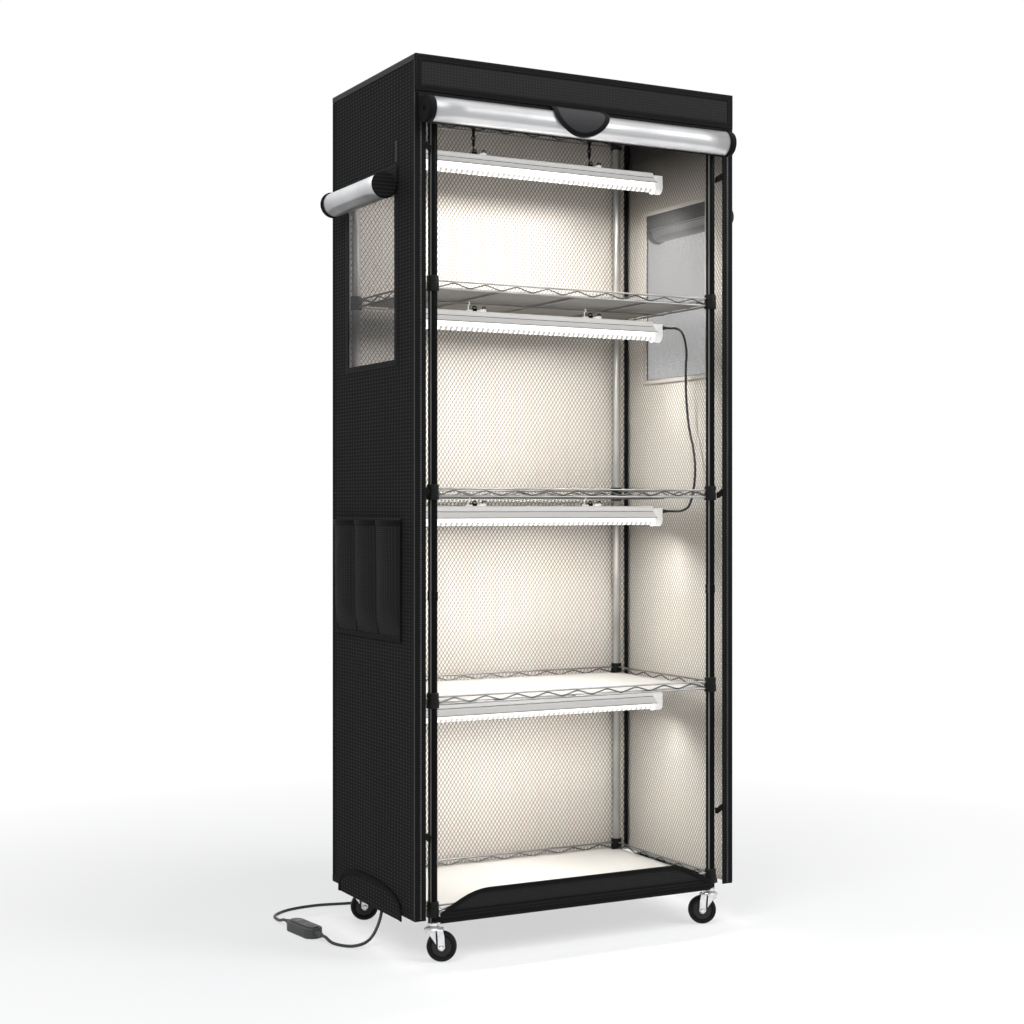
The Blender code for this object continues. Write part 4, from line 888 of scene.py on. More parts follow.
def cords():
    """The cord between the two middle lights, and the mains lead with its timer and plug."""
    cord_piece("link_flex", straight_ends(link_route(), LINK_D), LINK_D, ("link_cord",))
    cord_piece("mains_flex_in", straight_ends(lead_route_in(), LEAD_D), LEAD_D, ("mains_lead_in",))
    coil = coil_points()
    first = coil[0] + (coil[0] - coil[1]).normalized() * LEAD_D
    last = coil[-1] + (coil[-1] - coil[-2]).normalized() * COIL_TAIL
    way = (coil[0] - first).normalized()
    out = straight_ends(lead_route_out(first, way), LEAD_D)
    whole = out + coil + smooth_route([coil[-1], last], LEAD_D * 1.2)[1:]
    cord_piece("mains_flex_out", whole, LEAD_D, ("mains_lead_out", "mains_lead_coil"))


# Rack
def poles():
    """Round tube posts with their screwed joint's band, a groove, and a plastic cap on top."""
    for row, side in CORNERS:
        name = f"pole_{row}_{side}"
        low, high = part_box(name)
        joint = (SHELF_Z[1] + SHELF_Z[2]) / 2
        bm = bmesh.new()
        place = Matrix.Translation(((low.x + high.x) / 2, (low.y + high.y) / 2, 0))
        turned(bm, [(0.0066, low.z), (POLE_R - 0.0003, low.z), (POLE_R, low.z + 0.0006),
                    (POLE_R, joint - 0.0080), (0.0089, joint - 0.0070), (0.0089, joint - 0.0006),
                    (0.0084, joint), (0.0089, joint + 0.0006), (0.0089, joint + 0.0070),
                    (POLE_R, joint + 0.0080), (POLE_R, high.z - 0.0075), (0.0074, high.z - 0.0070),
                    (0.0074, high.z - 0.0062), (POLE_R, high.z - 0.0056), (POLE_R, high.z - 0.0016),
                    (0.0066, high.z - 0.0003), (0, high.z)], place)
        turned(bm, [(0.0066, low.z), (0.0066, low.z + 0.03), (0, low.z + 0.03)], place)
        # the rear posts take the painted lit copy of the steel
        closed_piece(f"post_{row}_{side}", bm, ("rear_post_painted_lit" if row == "rear" else "front_post_painted_highlight",),
                     replaced=(name,), merge=MERGE)


def truss_wires(bm, start, end, z):
    """One rim of a shelf: an upper and a lower wire with a zigzag wire welded between them."""
    start, end = Vector(start), Vector(end)
    run = (end - start).length
    way = (end - start) / run
    rim_r, zig_r = 0.0016, 0.0013
    high, low = z + 0.0064, z - 0.0064
    for level in (high, low):
        sweep(bm, [(*(start - way * 0.001).to_2d(), level), (*(end + way * 0.001).to_2d(), level)],
              rim_r, 10, up=UP)
    bays = round(run / 0.060)
    corners = []
    for i in range(2 * bays + 1):
        p = start + way * (run * i / (2 * bays))
        corners.append((p.x, p.y, high - 0.0021 if i % 2 else low + 0.0021))
    sweep(bm, round_corners(corners, 0.005, 3), zig_r, 8, slot=1)


def shelves():
    """Wire shelves: trussed rims, support wires, the lengthwise beam, and black tapered collars."""
    reach = 0.0098
    rim_drop = 0.001
    deck_r = 0.0014
    deck_drop = rim_drop + 0.008 - 0.0017
    beam_drop = deck_drop + 0.0023
    front, rear = POLE_Y["front"], POLE_Y["rear"]
    for name, z in zip(SHELVES, SHELF_Z):
        bm = bmesh.new()
        for y in (front, rear):
            truss_wires(bm, (-POLE_X + reach, y, 0), (POLE_X - reach, y, 0), z - rim_drop)
        for x in (-POLE_X, POLE_X):
            truss_wires(bm, (x, front + reach, 0), (x, rear - reach, 0), z - rim_drop)
        for x in (-0.152, 0, 0.152):
            sweep(bm, [(x, front, z - deck_drop), (x, rear, z - deck_drop)], deck_r, 10, up=UP)
        beam = [(-POLE_X, LIGHT_AXIS_Y, z - beam_drop), (POLE_X, LIGHT_AXIS_Y, z - beam_drop)]
        sweep(bm, beam, deck_r, 10, up=UP)
        closed_piece(f"{name}_wires", bm, ("shelf_wire", "zigzag_wire"), replaced=(name,))
        bm = bmesh.new()
        for x in (-POLE_X, POLE_X):
            for y in (front, rear):
                turned(bm, [(0.0083, z + 0.0130), (0.0096, z + 0.0130), (0.0103, z + 0.0122),
                            (0.0106, z + 0.0040), (0.0100, z + 0.0034), (0.0100, z + 0.0022),
                            (0.0108, z + 0.0016), (0.0111, z - 0.0120), (0.0107, z - 0.0130),
                            (0.0083, z - 0.0130), (0.0083, z + 0.0130)], Matrix.Translation((x, y, 0)))
        closed_piece(f"{name}_collars", bm, ("collar_plastic",), merge=MERGE)


def wheel_profiles():
    """Half sections of a caster's tyre and of its hub."""
    r, half = 0.0255, 0.0095
    tyre = mirrored([(0.0185, -half + 0.0012), (0.0215, -half + 0.0004), (0.0240, -half + 0.0016),
                     (0.0252, -half + 0.0042), (r, -0.0030)])
    tyre += [(0.0180, half - 0.0026), (0.0180, -half + 0.0026), tyre[0]]
    hub = mirrored([(0.0033, -half + 0.0001), (0.0064, -half + 0.0001), (0.0070, -half + 0.0008),
                    (0.0076, -half + 0.0036), (0.0165, -half + 0.0036), (0.0172, -half + 0.0022),
                    (0.0180, -half + 0.0026)])
    hub.append(hub[0])
    return tyre, hub


def fork_leg(bm, place, inner, outer, sign):
    """One leg of a fork: wide at the crown, drawn in to a round boss at the axle."""
    axle_z, top = 0.02511, 0.0540
    ring = [(0.0072, top), (0.0088, top - 0.0150)]
    ring += arc((TRAIL, axle_z), 0.0060, 190, 360, 12)
    ring += [(0.0200, top - 0.0110), (0.0178, top)]
    web = [(-0.0075, top), (-0.0055, top - 0.0075), (0.0062, top - 0.0240), (0.0052, top)]
    soft = 0.0005
    if sign < 0:
        inner, outer = -outer, -inner
    upright = place @ Matrix.Rotation(math.pi / 2, 4, "X")
    for outline in (ring, web):
        prism(bm, outline, [(soft, -outer), (0, -outer + soft), (0, -inner - soft), (soft, -inner)],
              upright)


def caster_wheel(corner, axle):
    """A tyre on its hub, about the axle."""
    tyre, hub = wheel_profiles()
    bm = bmesh.new()
    turned(bm, tyre, axle, 64)
    turned(bm, hub, axle, 64, slot=1)
    closed_piece(f"wheel_{corner}_tyre_and_hub", bm, ("rubber", "hub_plastic"),
                 f"wheel_{corner}", (f"caster_wheel_{corner}",), MERGE)


def caster_fork(corner, place, axle):
    """The fork's crown, legs, hood and rear cup, with the bolt through the axle."""
    bm = bmesh.new()
    turned(bm, [(0, 0.0575), (0.0080, 0.0575), (0.0090, 0.0568), (0.0118, 0.0568), (0.0140, 0.0560),
                (0.0150, 0.0548), (0.0150, 0.0534), (0.0144, 0.0530), (0, 0.0530)], place, 40)
    for sign in (-1, 1):
        fork_leg(bm, place, 0.0107, 0.0127, sign)
    hood = [(-0.0070, -0.0125), (0.0150, -0.0125), (0.0180, -0.0105), (0.0180, 0.0105), (0.0150, 0.0125),
            (-0.0070, 0.0125)]
    prism(bm, hood, [(0.0004, 0.0526), (0, 0.0530), (0, 0.0541), (0.0004, 0.0545)], place)
    cup = arc((0, 0), 0.0124, 97, 263, 16)
    prism(bm, cup, [(0.0012, 0.0456), (0, 0.0468), (0, 0.0522), (0.0010, 0.0534)], place)
    bolt = [(0, -0.0160), (0.0034, -0.0160), (0.0044, -0.0152), (0.0046, -0.0128), (0.0029, -0.0126)]
    turned(bm, mirrored(bolt), axle, 20)
    closed_piece(f"fork_{corner}_plated", bm, ("chrome",), f"fork_{corner}",
                 (f"caster_fork_{corner}",))


def caster_stem(corner, place, top):
    """The washer, the nut and the threaded stem."""
    bm = bmesh.new()
    nut = [(0.0095 * math.cos(math.tau * k / 6), 0.0095 * math.sin(math.tau * k / 6)) for k in range(6)]
    prism(bm, nut, [(0.0006, 0.0590), (0, 0.0598), (0, 0.0648), (0.0006, 0.0656)], place)
    washer = [(0, 0.0578), (0.0082, 0.0578), (0.0086, 0.0584), (0.0086, 0.0591), (0, 0.0591)]
    turned(bm, washer, place, 32)
    thread = [(0, 0.0650)]
    for i in range(14):
        z = 0.0655 + 0.0020 * i
        thread += [(0.0058, z), (0.0064, z + 0.0010)]
    thread += [(0.0056, top - 0.001), (0, top)]
    turned(bm, thread, place, 24)
    closed_piece(f"stem_{corner}_threaded", bm, ("chrome",),
                 replaced=(f"caster_stem_{corner}",))


def casters():
    """Plated swivel forks with axle bolts, rubber tyres on moulded hubs, and threaded stems."""
    for row, side in CORNERS:
        corner = f"{row}_{side}"
        stem_low, stem_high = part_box(f"caster_stem_{corner}")
        foot = Vector(((stem_low.x + stem_high.x) / 2, (stem_low.y + stem_high.y) / 2, 0))
        hub_at = middle(f"caster_wheel_{corner}")
        way = math.atan2(hub_at.y - foot.y, hub_at.x - foot.x)
        place = Matrix.Translation(foot) @ Matrix.Rotation(way, 4, "Z")
        axle = place @ Matrix.Translation((TRAIL, 0, hub_at.z)) @ Matrix.Rotation(math.pi / 2, 4, "X")
        caster_wheel(corner, axle)
        caster_fork(corner, place, axle)
        caster_stem(corner, Matrix.Translation(foot), stem_high.z)


def liners():
    """Thin translucent sheets that lie on the shelves, very slightly dished between the wires."""
    for number in range(1, 5):
        name = f"liner_{number}"
        low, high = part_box(name)
        notch = 0.018
        xs = steps_between(low.x, high.x, 0.02, (low.x + notch, high.x - notch))
        ys = steps_between(low.y, high.y, 0.02, (low.y + notch, high.y - notch))

        def place(x, y, top=high.z, seed=number):
            from_edge = min(y - low.y, high.y - y)
            sag = 0.0007 * math.sin(math.pi * (x - low.x) / 0.152) ** 2 * ease(from_edge, 0.03)
            return Vector((x, y, top - sag * (0.6 + 0.4 * ripple((x, y, 0), 0.1, seed))))

        def notched(x, y):
            return (x < low.x + notch or x > high.x - notch) and (y < low.y + notch or y > high.y - notch)

        # the sheet's underside takes the painted shade
        obj = panel(f"{name}_sheet", xs, ys, place, (0, 0, 1), ("liner", "liner_under_painted_shade"), notched, 0.0009)
        finish_piece(obj, replaced=(name,))


# Lights
def light_clips(number, y, top, body):
    """Two pairs of clips on a light's spine, each with a small wire hook."""
    bm = bmesh.new()
    for x in (-0.126, 0.116):
        for at, size, slot in ((x, 0.0042, 0), (x + 0.019, 0.0034, 1)):
            block(bm, (at - size, y - 0.0062, top + 0.0002), (at + size, y + 0.0062, top + 0.0052),
                  0.0008, slot)
            hook = [(at + size * share, y - 0.004, top + rise) for share, rise in
                    ((-0.8, 0.005), (-0.8, 0.0092), (0.8, 0.0092), (0.8, 0.005))]
            sweep(bm, round_corners(hook, 0.0025), 0.0011, 8)
    # the hooks take the painted glow
    closed_piece(f"light_{number}_clips", bm, ("collar_plastic", "cap_white_painted_glow"), body)


def chain_links():
    """The upper light's hangers stay as built, with small chain links along them."""
    chain = bmesh.new()
    for side in SIDE:
        name = f"light_4_hanger_{side}"
        repaint(name, "black_steel")
        low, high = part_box(name)
        x, first, last = (low.x + high.x) / 2, low.z + 0.0160, high.z - 0.0160
        count = round((last - first) / 0.0085)
        for k in range(count):
            z = first + (last - first) * (k + 0.5) / count
            across = Vector((1, 0, 0)) if k % 2 else Vector((0, 1, 0))
            loop = [Vector((x, LIGHT_AXIS_Y, z)) + across * 0.0032 * math.cos(math.tau * i / 14)
                    + Vector((0, 0, 0.0058 * math.sin(math.tau * i / 14))) for i in range(14)]
            sweep(chain, loop, 0.0011, 8, closed=True)
    closed_piece("light_4_chain_links", chain, ("black_steel",), "top_light")


def lights():
    """Strip lights: enamelled reflectors stay as built, with frosted tubes, end caps, seams and clips."""
    for number in range(1, 5):
        # the housing takes the painted glow
        repaint(f"light_{number}_housing", "enamel_painted_glow")
        body = "top_light" if number == 4 else "root"
        low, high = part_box(f"light_{number}_tube")
        top = light_top(number)
        y, z = (low.y + high.y) / 2, (low.z + high.z) / 2
        along = Matrix.Rotation(math.pi / 2, 4, "Y")
        bm = bmesh.new()
        turned(bm, [(0, low.x), (0.0082, low.x), (0.0088, low.x + 0.0008), (0.0088, high.x - 0.0008),
                    (0.0082, high.x), (0, high.x)], Matrix.Translation((0, y, z)) @ along, 36)
        closed_piece(f"light_{number}_lamp", bm, ("tube",), body, (f"light_{number}_tube",))
        bm = bmesh.new()
        for sign in (-1, 1):
            place = Matrix.Translation((sign * (LIGHT_L / 2 - 0.0168), y, z)) @ along
            turned(bm, [(0.0119, -0.0006), (0.0124, -0.0002), (0.0124, 0.0008), (0.0119, 0.0012),
                        (0.0112, 0.0012), (0.0112, -0.0006), (0.0119, -0.0006)], place, 32)
        spine = LIGHT_L / 2 - SPINE_SHORT - 0.0004
        for out, down, thick in ((0.0142, 0.0102, 0.0009), (0.0290, 0.0213, 0.0008)):
            for sign in (-1, 1):
                seam_y, seam_z = y + sign * out, top - down
                sweep(bm, [(-spine, seam_y, seam_z), (spine, seam_y, seam_z)], thick, 8, slot=1, up=UP)
        # the end caps' rings take the painted glow
        closed_piece(f"light_{number}_trim", bm, ("cap_white_painted_glow", "print"), body, merge=MERGE)
        light_clips(number, y, top, body)
    chain_links()
    for name in ("link_plug_upper", "link_plug_lower", "lead_elbow"):
        repaint(name, "plug")


# Cover
WINDOW = (NET_LOW.y - CLEAR, NET_HIGH.y + CLEAR, NET_LOW.z - CLEAR, NET_HIGH.z + CLEAR)
PORT = (FRONT + 0.054, BACK - 0.035, 0.062, 0.110)


def side_walls():
    """Side walls of black oxford with an embossed lining, a window opening, tapes and ties."""
    for side, sign in SIDE.items():
        y0, y1, z0, z1 = WINDOW
        ys = steps_between(FRONT, BACK, 0.013, (y0, y1))
        zs = steps_between(HEM, TOP - 0.0004, 0.013, (z0, z1))

        def place(y, z, sign=sign):
            from_edge = min(y - FRONT, BACK - y, z - HEM, TOP - z)
            to_window = max(y0 - y, y - y1, z0 - z, z - z1)
            slack = ease(from_edge, 0.07) * ease(to_window, 0.05)
            depth = 0.0012 * ripple((0, y, z * 0.45), 0.10, 3.1 + sign) * slack
            return Vector((sign * (HALF_W - 0.0001 - 0.0009 * slack + depth), y, z))

        def window(y, z):
            return y0 < y < y1 and z0 < z < z1

        wall = panel(f"side_wall_{side}", ys, zs, place, (sign, 0, 0), ("side_cloth", "side_lining"),
                     window)
        finish_piece(wall, replaced=(f"side_panel_{side}",))
        face = sign * (HALF_W + 0.0001)
        out = Vector((sign, 0, 0))

        def upright(y, low=HEM + 0.013, high=TOP - 0.012):
            return [(face, y, low), (face, y, high)]

        def level(z):
            return [(face, FRONT + 0.001, z), (face, BACK - 0.001, z)]

        border = [(y0 - 0.004, z0 - 0.004), (y1 + 0.004, z0 - 0.004), (y1 + 0.004, z1 + 0.004),
                  (y0 - 0.004, z1 + 0.004)]
        inner = sign * (HALF_W - WALL - 0.0022)
        outer_edge, inner_edge = [(face, *p) for p in border], [(inner, *p) for p in border]
        welt = upright(FRONT + 0.075, TOP - 0.132, z1 + 0.012)
        bindings = {
            "window_binding": ("dim_tape", (outer_edge, out, 0.011, 0.0011, True)),
            "window_inner_binding": ("inner_tape", (inner_edge, -out, 0.009, 0.0008, True)),
            "side_welt": ("grey_tape", (welt, out, 0.006, 0.0010)),
            "side_hem": ("black_tape", (level(HEM + 0.0065), out, 0.013, 0.0011)),
            "roof_edge": ("grey_tape", (level(TOP - 0.0055), out, 0.010, 0.0011)),
            "side_seams": ("black_tape", (upright(FRONT + 0.005), out, 0.009, 0.0010),
                           (upright(BACK - 0.005), out, 0.009, 0.0010)),
        }
        tapes = [tape_piece(f"{name}_{side}", *runs, mat=mat) for name, (mat, *runs) in bindings.items()]
        tape_piece(f"corner_piping_{side}", (upright(FRONT + 0.0012, HEM + 0.002), out, 0.0020, 0.0012),
                   mat="grey_tape")
        port_flap(side, sign, face)
        window_net(side, sign)
        zip_strip(side, sign)


def port_outline(count=28):
    """The port's arch as (y, z), from its front foot to its back foot."""
    y0, y1, z0, z1 = PORT
    centre, half = (y0 + y1) / 2, (y1 - y0) / 2
    turns = [math.pi * i / count for i in range(count + 1)]
    return [(centre - half * math.cos(t), z0 + (z1 - z0) * math.sin(t) ** 0.55) for t in turns]


def port_flap(side, sign, face):
    """The flap over the side port: an arch of the wall's cloth, bound along its curved edge."""
    y0, y1, z0, z1 = PORT
    out = Vector((sign, 0, 0))
    line = port_outline()
    layers = 6

    def point(y, top, j):
        bow = 0.0012 + 0.0006 * math.sin(math.pi * j / layers)
        return face + sign * bow, y, z0 + (top - z0) * j / layers

    bm = bmesh.new()
    join_lines(bm, [[bm.verts.new(point(y, top, j)) for j in range(layers + 1)] for y, top in line])
    bmesh.ops.remove_doubles(bm, verts=bm.verts, dist=1e-5)
    bmesh.ops.dissolve_degenerate(bm, edges=bm.edges, dist=MERGE)
    face_outwards(bm, out)
    flap = finish_piece(cloth_object(f"port_flap_{side}", bm, ("side_cloth",), SKIN))
    edge = [(face + sign * 0.0013, y, z) for y, z in line]
    binding = tape_piece(f"port_binding_{side}", (edge, out, 0.009, 0.0013), mat="deep_tape")


def window_net(side, sign):
    """A fine knotted net: two crossing layers of thin threads."""
    y0, y1, z0, z1 = WINDOW
    pitch = 0.0020
    half, thick = (0.00018, 0.00036) if sign < 0 else (0.00034, 0.00028)
    x = sign * (HALF_W - 0.0014)
    bm = bmesh.new()
    upright, level = round((y1 - y0) / pitch) - 1, round((z1 - z0) / pitch) - 1
    for i in range(upright):
        y = y0 + pitch * (i + 1)
        block(bm, (x - thick, y - half, z0), (x, y + half, z1), 0.00004)
    for i in range(level):
        z = z0 + pitch * (i + 1)
        block(bm, (x, y0, z - half), (x + thick, y1, z + half), 0.00004)
    # the right window's net takes the painted lit copy
    net = closed_piece(f"window_mesh_{side}", bm, ("net_dark" if sign < 0 else "net_painted_lit",),
                       replaced=(f"window_net_{side}",))


def zip_strip(side, sign):
    """The front edge's strip: binding tape, the half of the door's zip, and three ties to the post."""
    x0, x1 = sign * HALF_W, sign * (HALF_W - STRIP_W)
    middle_x = (x0 + x1) / 2
    face = FRONT
    top = HEADER_LOW - 0.0005

    def upright(off, depth):
        x = middle_x + sign * off
        return [(x, face + depth, HEM), (x, face + depth, top)]

    tape_piece(f"zip_tape_{side}", (upright(0, 0.0016), FORWARD, STRIP_W - 0.0004, 0.0014),
               (upright(0.0070, 0.0003), FORWARD, 0.0062, 0.0007),
               (upright(-0.0070, 0.0003), FORWARD, 0.0058, 0.0007))
    bm = bmesh.new()
    pitch = 0.0030
    count = int((top - HEM - 0.004) / pitch)
    for i in range(count):
        z = HEM + 0.003 + pitch * i
        low, high = (middle_x - 0.0017, face - 0.0008, z), (middle_x + 0.0017, face + 0.0003, z + 0.0018)
        block(bm, low, high, 0.0003)
    closed_piece(f"zip_teeth_{side}", bm, ("zip",))
    ties = []
    for step in (-1, 0, 1):
        z = SHELF_Z[2] + TIE_PITCH * step
        x = sign * (POLE_X + (0.0114 if step == 0 else POLE_R) + 0.0006)
        path = round_corners([(x1 + sign * 0.002, face + 0.0012, z + 0.004),
                              (x, face + 0.0040, z - 0.004), (x, face + 0.0105, z - 0.004)], 0.003)
        normals = [FORWARD if p.y < face + 0.0040 else Vector((sign, 0, 0)) for p in path]
        ties.append((path, normals, 0.011, 0.0012))
    tape_piece(f"ties_{side}", *ties)


def back_wall():
    """The back wall, with its hem, corner tapes and two sewn seams."""
    x = HALF_W - WALL - CLEAR
    xs = steps_between(-x, x, 0.013)
    zs = steps_between(HEM, TOP - 0.0020, 0.013)

    def place(u, z):
        slack = ease(min(u + x, x - u, z - HEM, TOP - z), 0.08)
        depth = 0.0016 * ripple((u, 0, z * 0.45), 0.12, 9.4) * slack
        return Vector((u, BACK - 0.0001 - 0.0014 * slack + depth, z))

    wall = panel("back_wall", xs, zs, place, (0, 1, 0), ("back_cloth", "back_lining"))
    finish_piece(wall, replaced=("back_panel",))
    rear = Vector((0, 1, 0))
    face = BACK + 0.0001

    def level(z):
        return [(-x, face, z), (x, face, z)]

    def upright(off, depth, low, high):
        return [(off, depth, low), (off, depth, high)]

    side_x = x - 0.004
    tapes = tape_piece("back_bindings", (level(HEM + 0.0065), rear, 0.013, 0.0011),
                       (level(TOP - 0.0065), rear, 0.010, 0.0011),
                       *[(upright(s * side_x, face, HEM + 0.013, TOP - 0.012), rear, 0.009, 0.0010)
                         for s in (-1, 1)])
    inside = BACK - WALL - 0.0030
    seam_x = x - 0.006
    seams = tape_piece("inner_corner_tapes", *[
        (upright(s * seam_x, inside, HEM + 0.004, TOP - 0.01), -rear, 0.008, 0.0008) for s in (-1, 1)],
        slot="reflective_lining")


def roof():
    """The roof sheet over the posts, with the header's front: a smoother band framed by binding."""
    xs = steps_between(-HALF_W, HALF_W, 0.016)
    ys = steps_between(FRONT, BACK, 0.016)

    def place(x, y):
        slack = ease(min(x + HALF_W, HALF_W - x, y - FRONT, BACK - y), 0.09)
        sag = 0.0022 * slack * (0.7 + 0.5 * ripple((x, y, 0), 0.13, 5.2))
        return Vector((x, y, TOP - 0.0001 - sag))

    sheet = panel("roof_sheet", xs, ys, place, (0, 0, 1), ("roof_cloth", "roof_lining"), thickness=0.0014)
    finish_piece(sheet, replaced=("roof_panel",))
    top_face = TOP - 0.0002
    x, y0, y1 = HALF_W - 0.004, FRONT + 0.004, BACK - 0.004
    edge = [(-x, y0, top_face), (x, y0, top_face), (x, y1, top_face), (-x, y1, top_face)]
    tape_piece("roof_piping", (edge, UP, 0.007, 0.0009, True))
    header()


def header():
    """The band over the door, framed by binding tape."""
    face = FRONT - 0.0014
    xs = steps_between(-HALF_W, HALF_W, 0.014)
    zs = steps_between(HEADER_LOW, TOP, 0.009)

    def place(x, z):
        slack = ease(min(x + HALF_W, HALF_W - x, z - HEADER_LOW, TOP - z), 0.02)
        return Vector((x, face + 0.0004 * slack + 0.0003 * slack * ripple((x, 0, z), 0.06, 2.2), z))

    band = panel("header_front", xs, zs, place, (0, -1, 0), ("header_cloth",), thickness=0.0010)
    finish_piece(band, replaced=("header_band",))
    inset = 0.0055
    x, z0, z1 = HALF_W - inset, HEADER_LOW + inset + 0.0015, TOP - inset
    frame_run = [(-x, face, z0), (x, face, z0), (x, face, z1), (-x, face, z1)]
    binding = tape_piece("header_binding", (frame_run, FORWARD, 0.0115, 0.0012, True))


def sill():
    """The low front band: a flat arch with ramped ends, its lower third a stiffened hem."""
    low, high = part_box("front_sill")
    half, ramp, end_top = POLE_X - POLE_R - CLEAR, 0.092, 0.080
    face = FRONT + 0.0001
    xs = steps_between(-half, half, 0.0125, (-half + ramp, half - ramp))
    rows = 8

    def top_at(x):
        t = min(1.0, (half - abs(x)) / ramp)
        return end_top + (high.z - end_top) * math.sin(t * math.pi / 2)

    def point(x, j):
        bow = 0.0006 * math.sin(math.pi * j / rows) + 0.0005 * ripple((x, 0, j * 0.01), 0.07, 4.4)
        return x, face + bow, low.z + (top_at(x) - low.z) * j / rows

    bm = bmesh.new()
    join_lines(bm, [[bm.verts.new(point(x, j)) for j in range(rows + 1)] for x in xs])
    face_outwards(bm, FORWARD)
    obj = cloth_object("sill_band", bm, ("sill_cloth",), 0.0012)
    finish_piece(obj, replaced=("front_sill",))
    edge = [(x, face, top_at(x) - 0.0035) for x in xs]
    hem_z, seam_z = low.z + 0.0068, low.z + 0.0190

    def level(z):
        return [(-half + 0.002, face, z), (half - 0.002, face, z)]

    binding = tape_piece("sill_bindings", (edge, FORWARD, 0.0085, 0.0014),
                         (level(hem_z), FORWARD, 0.0136, 0.0014),
                         (level(seam_z), FORWARD, 0.0042, 0.0009))
    post_front = POLE_Y["front"] - POLE_R - 0.0002
    runs = []
    for sign in (-1, 1):
        path = [(sign * (half - 0.010), face + 0.0014, hem_z), (sign * half, face + 0.0022, hem_z),
                (sign * POLE_X, post_front, hem_z)]
        runs.append((path, FORWARD * sign, 0.0100, 0.0008 * sign))
    ties = tape_piece("sill_ties", *runs)


# Rolled covers, badge and pocket
def wound(name, axis, centre, span, r_in, r_out, length, mat, thickness, turn_end, steps=34):
    """A sheet wound round an axis from its core outwards."""
    pitch = math.pi * (r_out ** 2 - r_in ** 2) / length
    total = math.tau * (r_out - r_in) / pitch
    count = max(24, int(total / math.tau * steps))
    across = max(1, round((span[1] - span[0]) / 0.06))
    along = [span[0] + (span[1] - span[0]) * k / across for k in range(across + 1)]

    def point(s, u, v):
        u, v = centre[0] + u, centre[1] + v
        return Vector((s, u, v) if axis == "X" else (u, s, v))

    bm = bmesh.new()
    lines = []
    for i in range(count + 1):
        angle = math.radians(turn_end) - total * (1 - i / count)
        radius = r_in + (r_out - r_in) * i / count
        u, v = radius * math.cos(angle), radius * math.sin(angle)
        lines.append([bm.verts.new(point(s, u, v)) for s in along])
    join_lines(bm, lines)
    bm.faces.ensure_lookup_table()
    seen = bm.faces[-1 - across].calc_center_median()
    face_outwards(bm, seen - point(seen.x if axis == "X" else seen.y, 0, 0), -1 - across)
    return cloth_object(name, bm, (mat,), thickness, 50)


def rolls():
    """The rolled-up door and window covers, wound from their flat lengths, with bound edges."""
    low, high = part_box("door_roll")
    centre = ((low.y + high.y) / 2, (low.z + high.z) / 2)
    r_out, r_in, length = 0.0229, 0.0055, 1.330
    border = ROLL_BORDER
    body = wound("door_roll_sheet", "X", centre, (low.x + border, high.x - border), r_in, r_out - 0.0005,
                 length, "door_film", 0.0007, 0)
    finish_piece(body, replaced=("door_roll",))
    for side, span in (("left", (low.x, low.x + border)), ("right", (high.x - border, high.x))):
        end = wound(f"door_roll_edge_{side}", "X", centre, span, r_in, r_out, length, "black_tape",
                    0.00105, 0)
        finish_piece(end)
    hang = (centre[1] + 0.004, HEADER_LOW - 0.0005)
    below = arc(centre, r_out + 0.0002, 264, 264, 1)[0]
    under = (0, math.cos(math.radians(264)), math.sin(math.radians(264)))
    hang_y, hang_z = high.y - 0.0010, sum(hang) / 2
    hung = [(low.x, hang_y, hang_z), (high.x, hang_y, hang_z)]
    crease = [(low.x + border, *below), (high.x - border, *below)]
    tape_piece("door_top_hem", (hung, FORWARD, hang[1] - hang[0], 0.0008),
                           (crease, under, 0.0060, 0.0005))
    for side, sign in SIDE.items():
        low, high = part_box(f"window_roll_{side}")
        centre = ((low.x + high.x) / 2, (low.z + high.z) / 2)
        r_out, r_in, length = 0.0243, 0.0060, 0.400
        turn = 0 if sign < 0 else 180
        front_edge = 0.004
        body = wound(f"window_roll_sheet_{side}", "Y", centre, (low.y + front_edge, high.y - border),
                     r_in, r_out - 0.0008, length, "window_film", 0.0034, turn, steps=40)
        finish_piece(body, replaced=(f"window_roll_{side}",))
        for where, span in (("front", (low.y + 0.0008, low.y + front_edge)),
                            ("back", (high.y - border, high.y - 0.0008))):
            end = wound(f"window_roll_edge_{side}_{where}", "Y", centre, span, r_in, r_out, length,
                        "black_tape", 0.0040, turn, steps=40)
            finish_piece(end)
        caps = bmesh.new()
        for y, way in ((low.y, 1), (high.y, -1)):
            outwards = Matrix.Rotation(-way * math.pi / 2, 4, "X")
            cap = [(0, 0.0006), (0.010, 0.0002), (0.019, 0.0005), (0.0226, 0.0010), (0.0232, 0.0018),
                   (0, 0.0018)]
            turned(caps, cap, Matrix.Translation((centre[0], y, centre[1])) @ outwards, 40)
        closed_piece(f"window_roll_folds_{side}", caps, ("side_cloth",))
        wall_x = sign * (HALF_W + 0.0012)
        hem_z = centre[1] + 0.018
        hem = [(wall_x, low.y, hem_z), (wall_x, high.y, hem_z)]
        tape_piece(f"window_top_hem_{side}", (hem, (sign, 0, 0), 0.030, 0.0008))


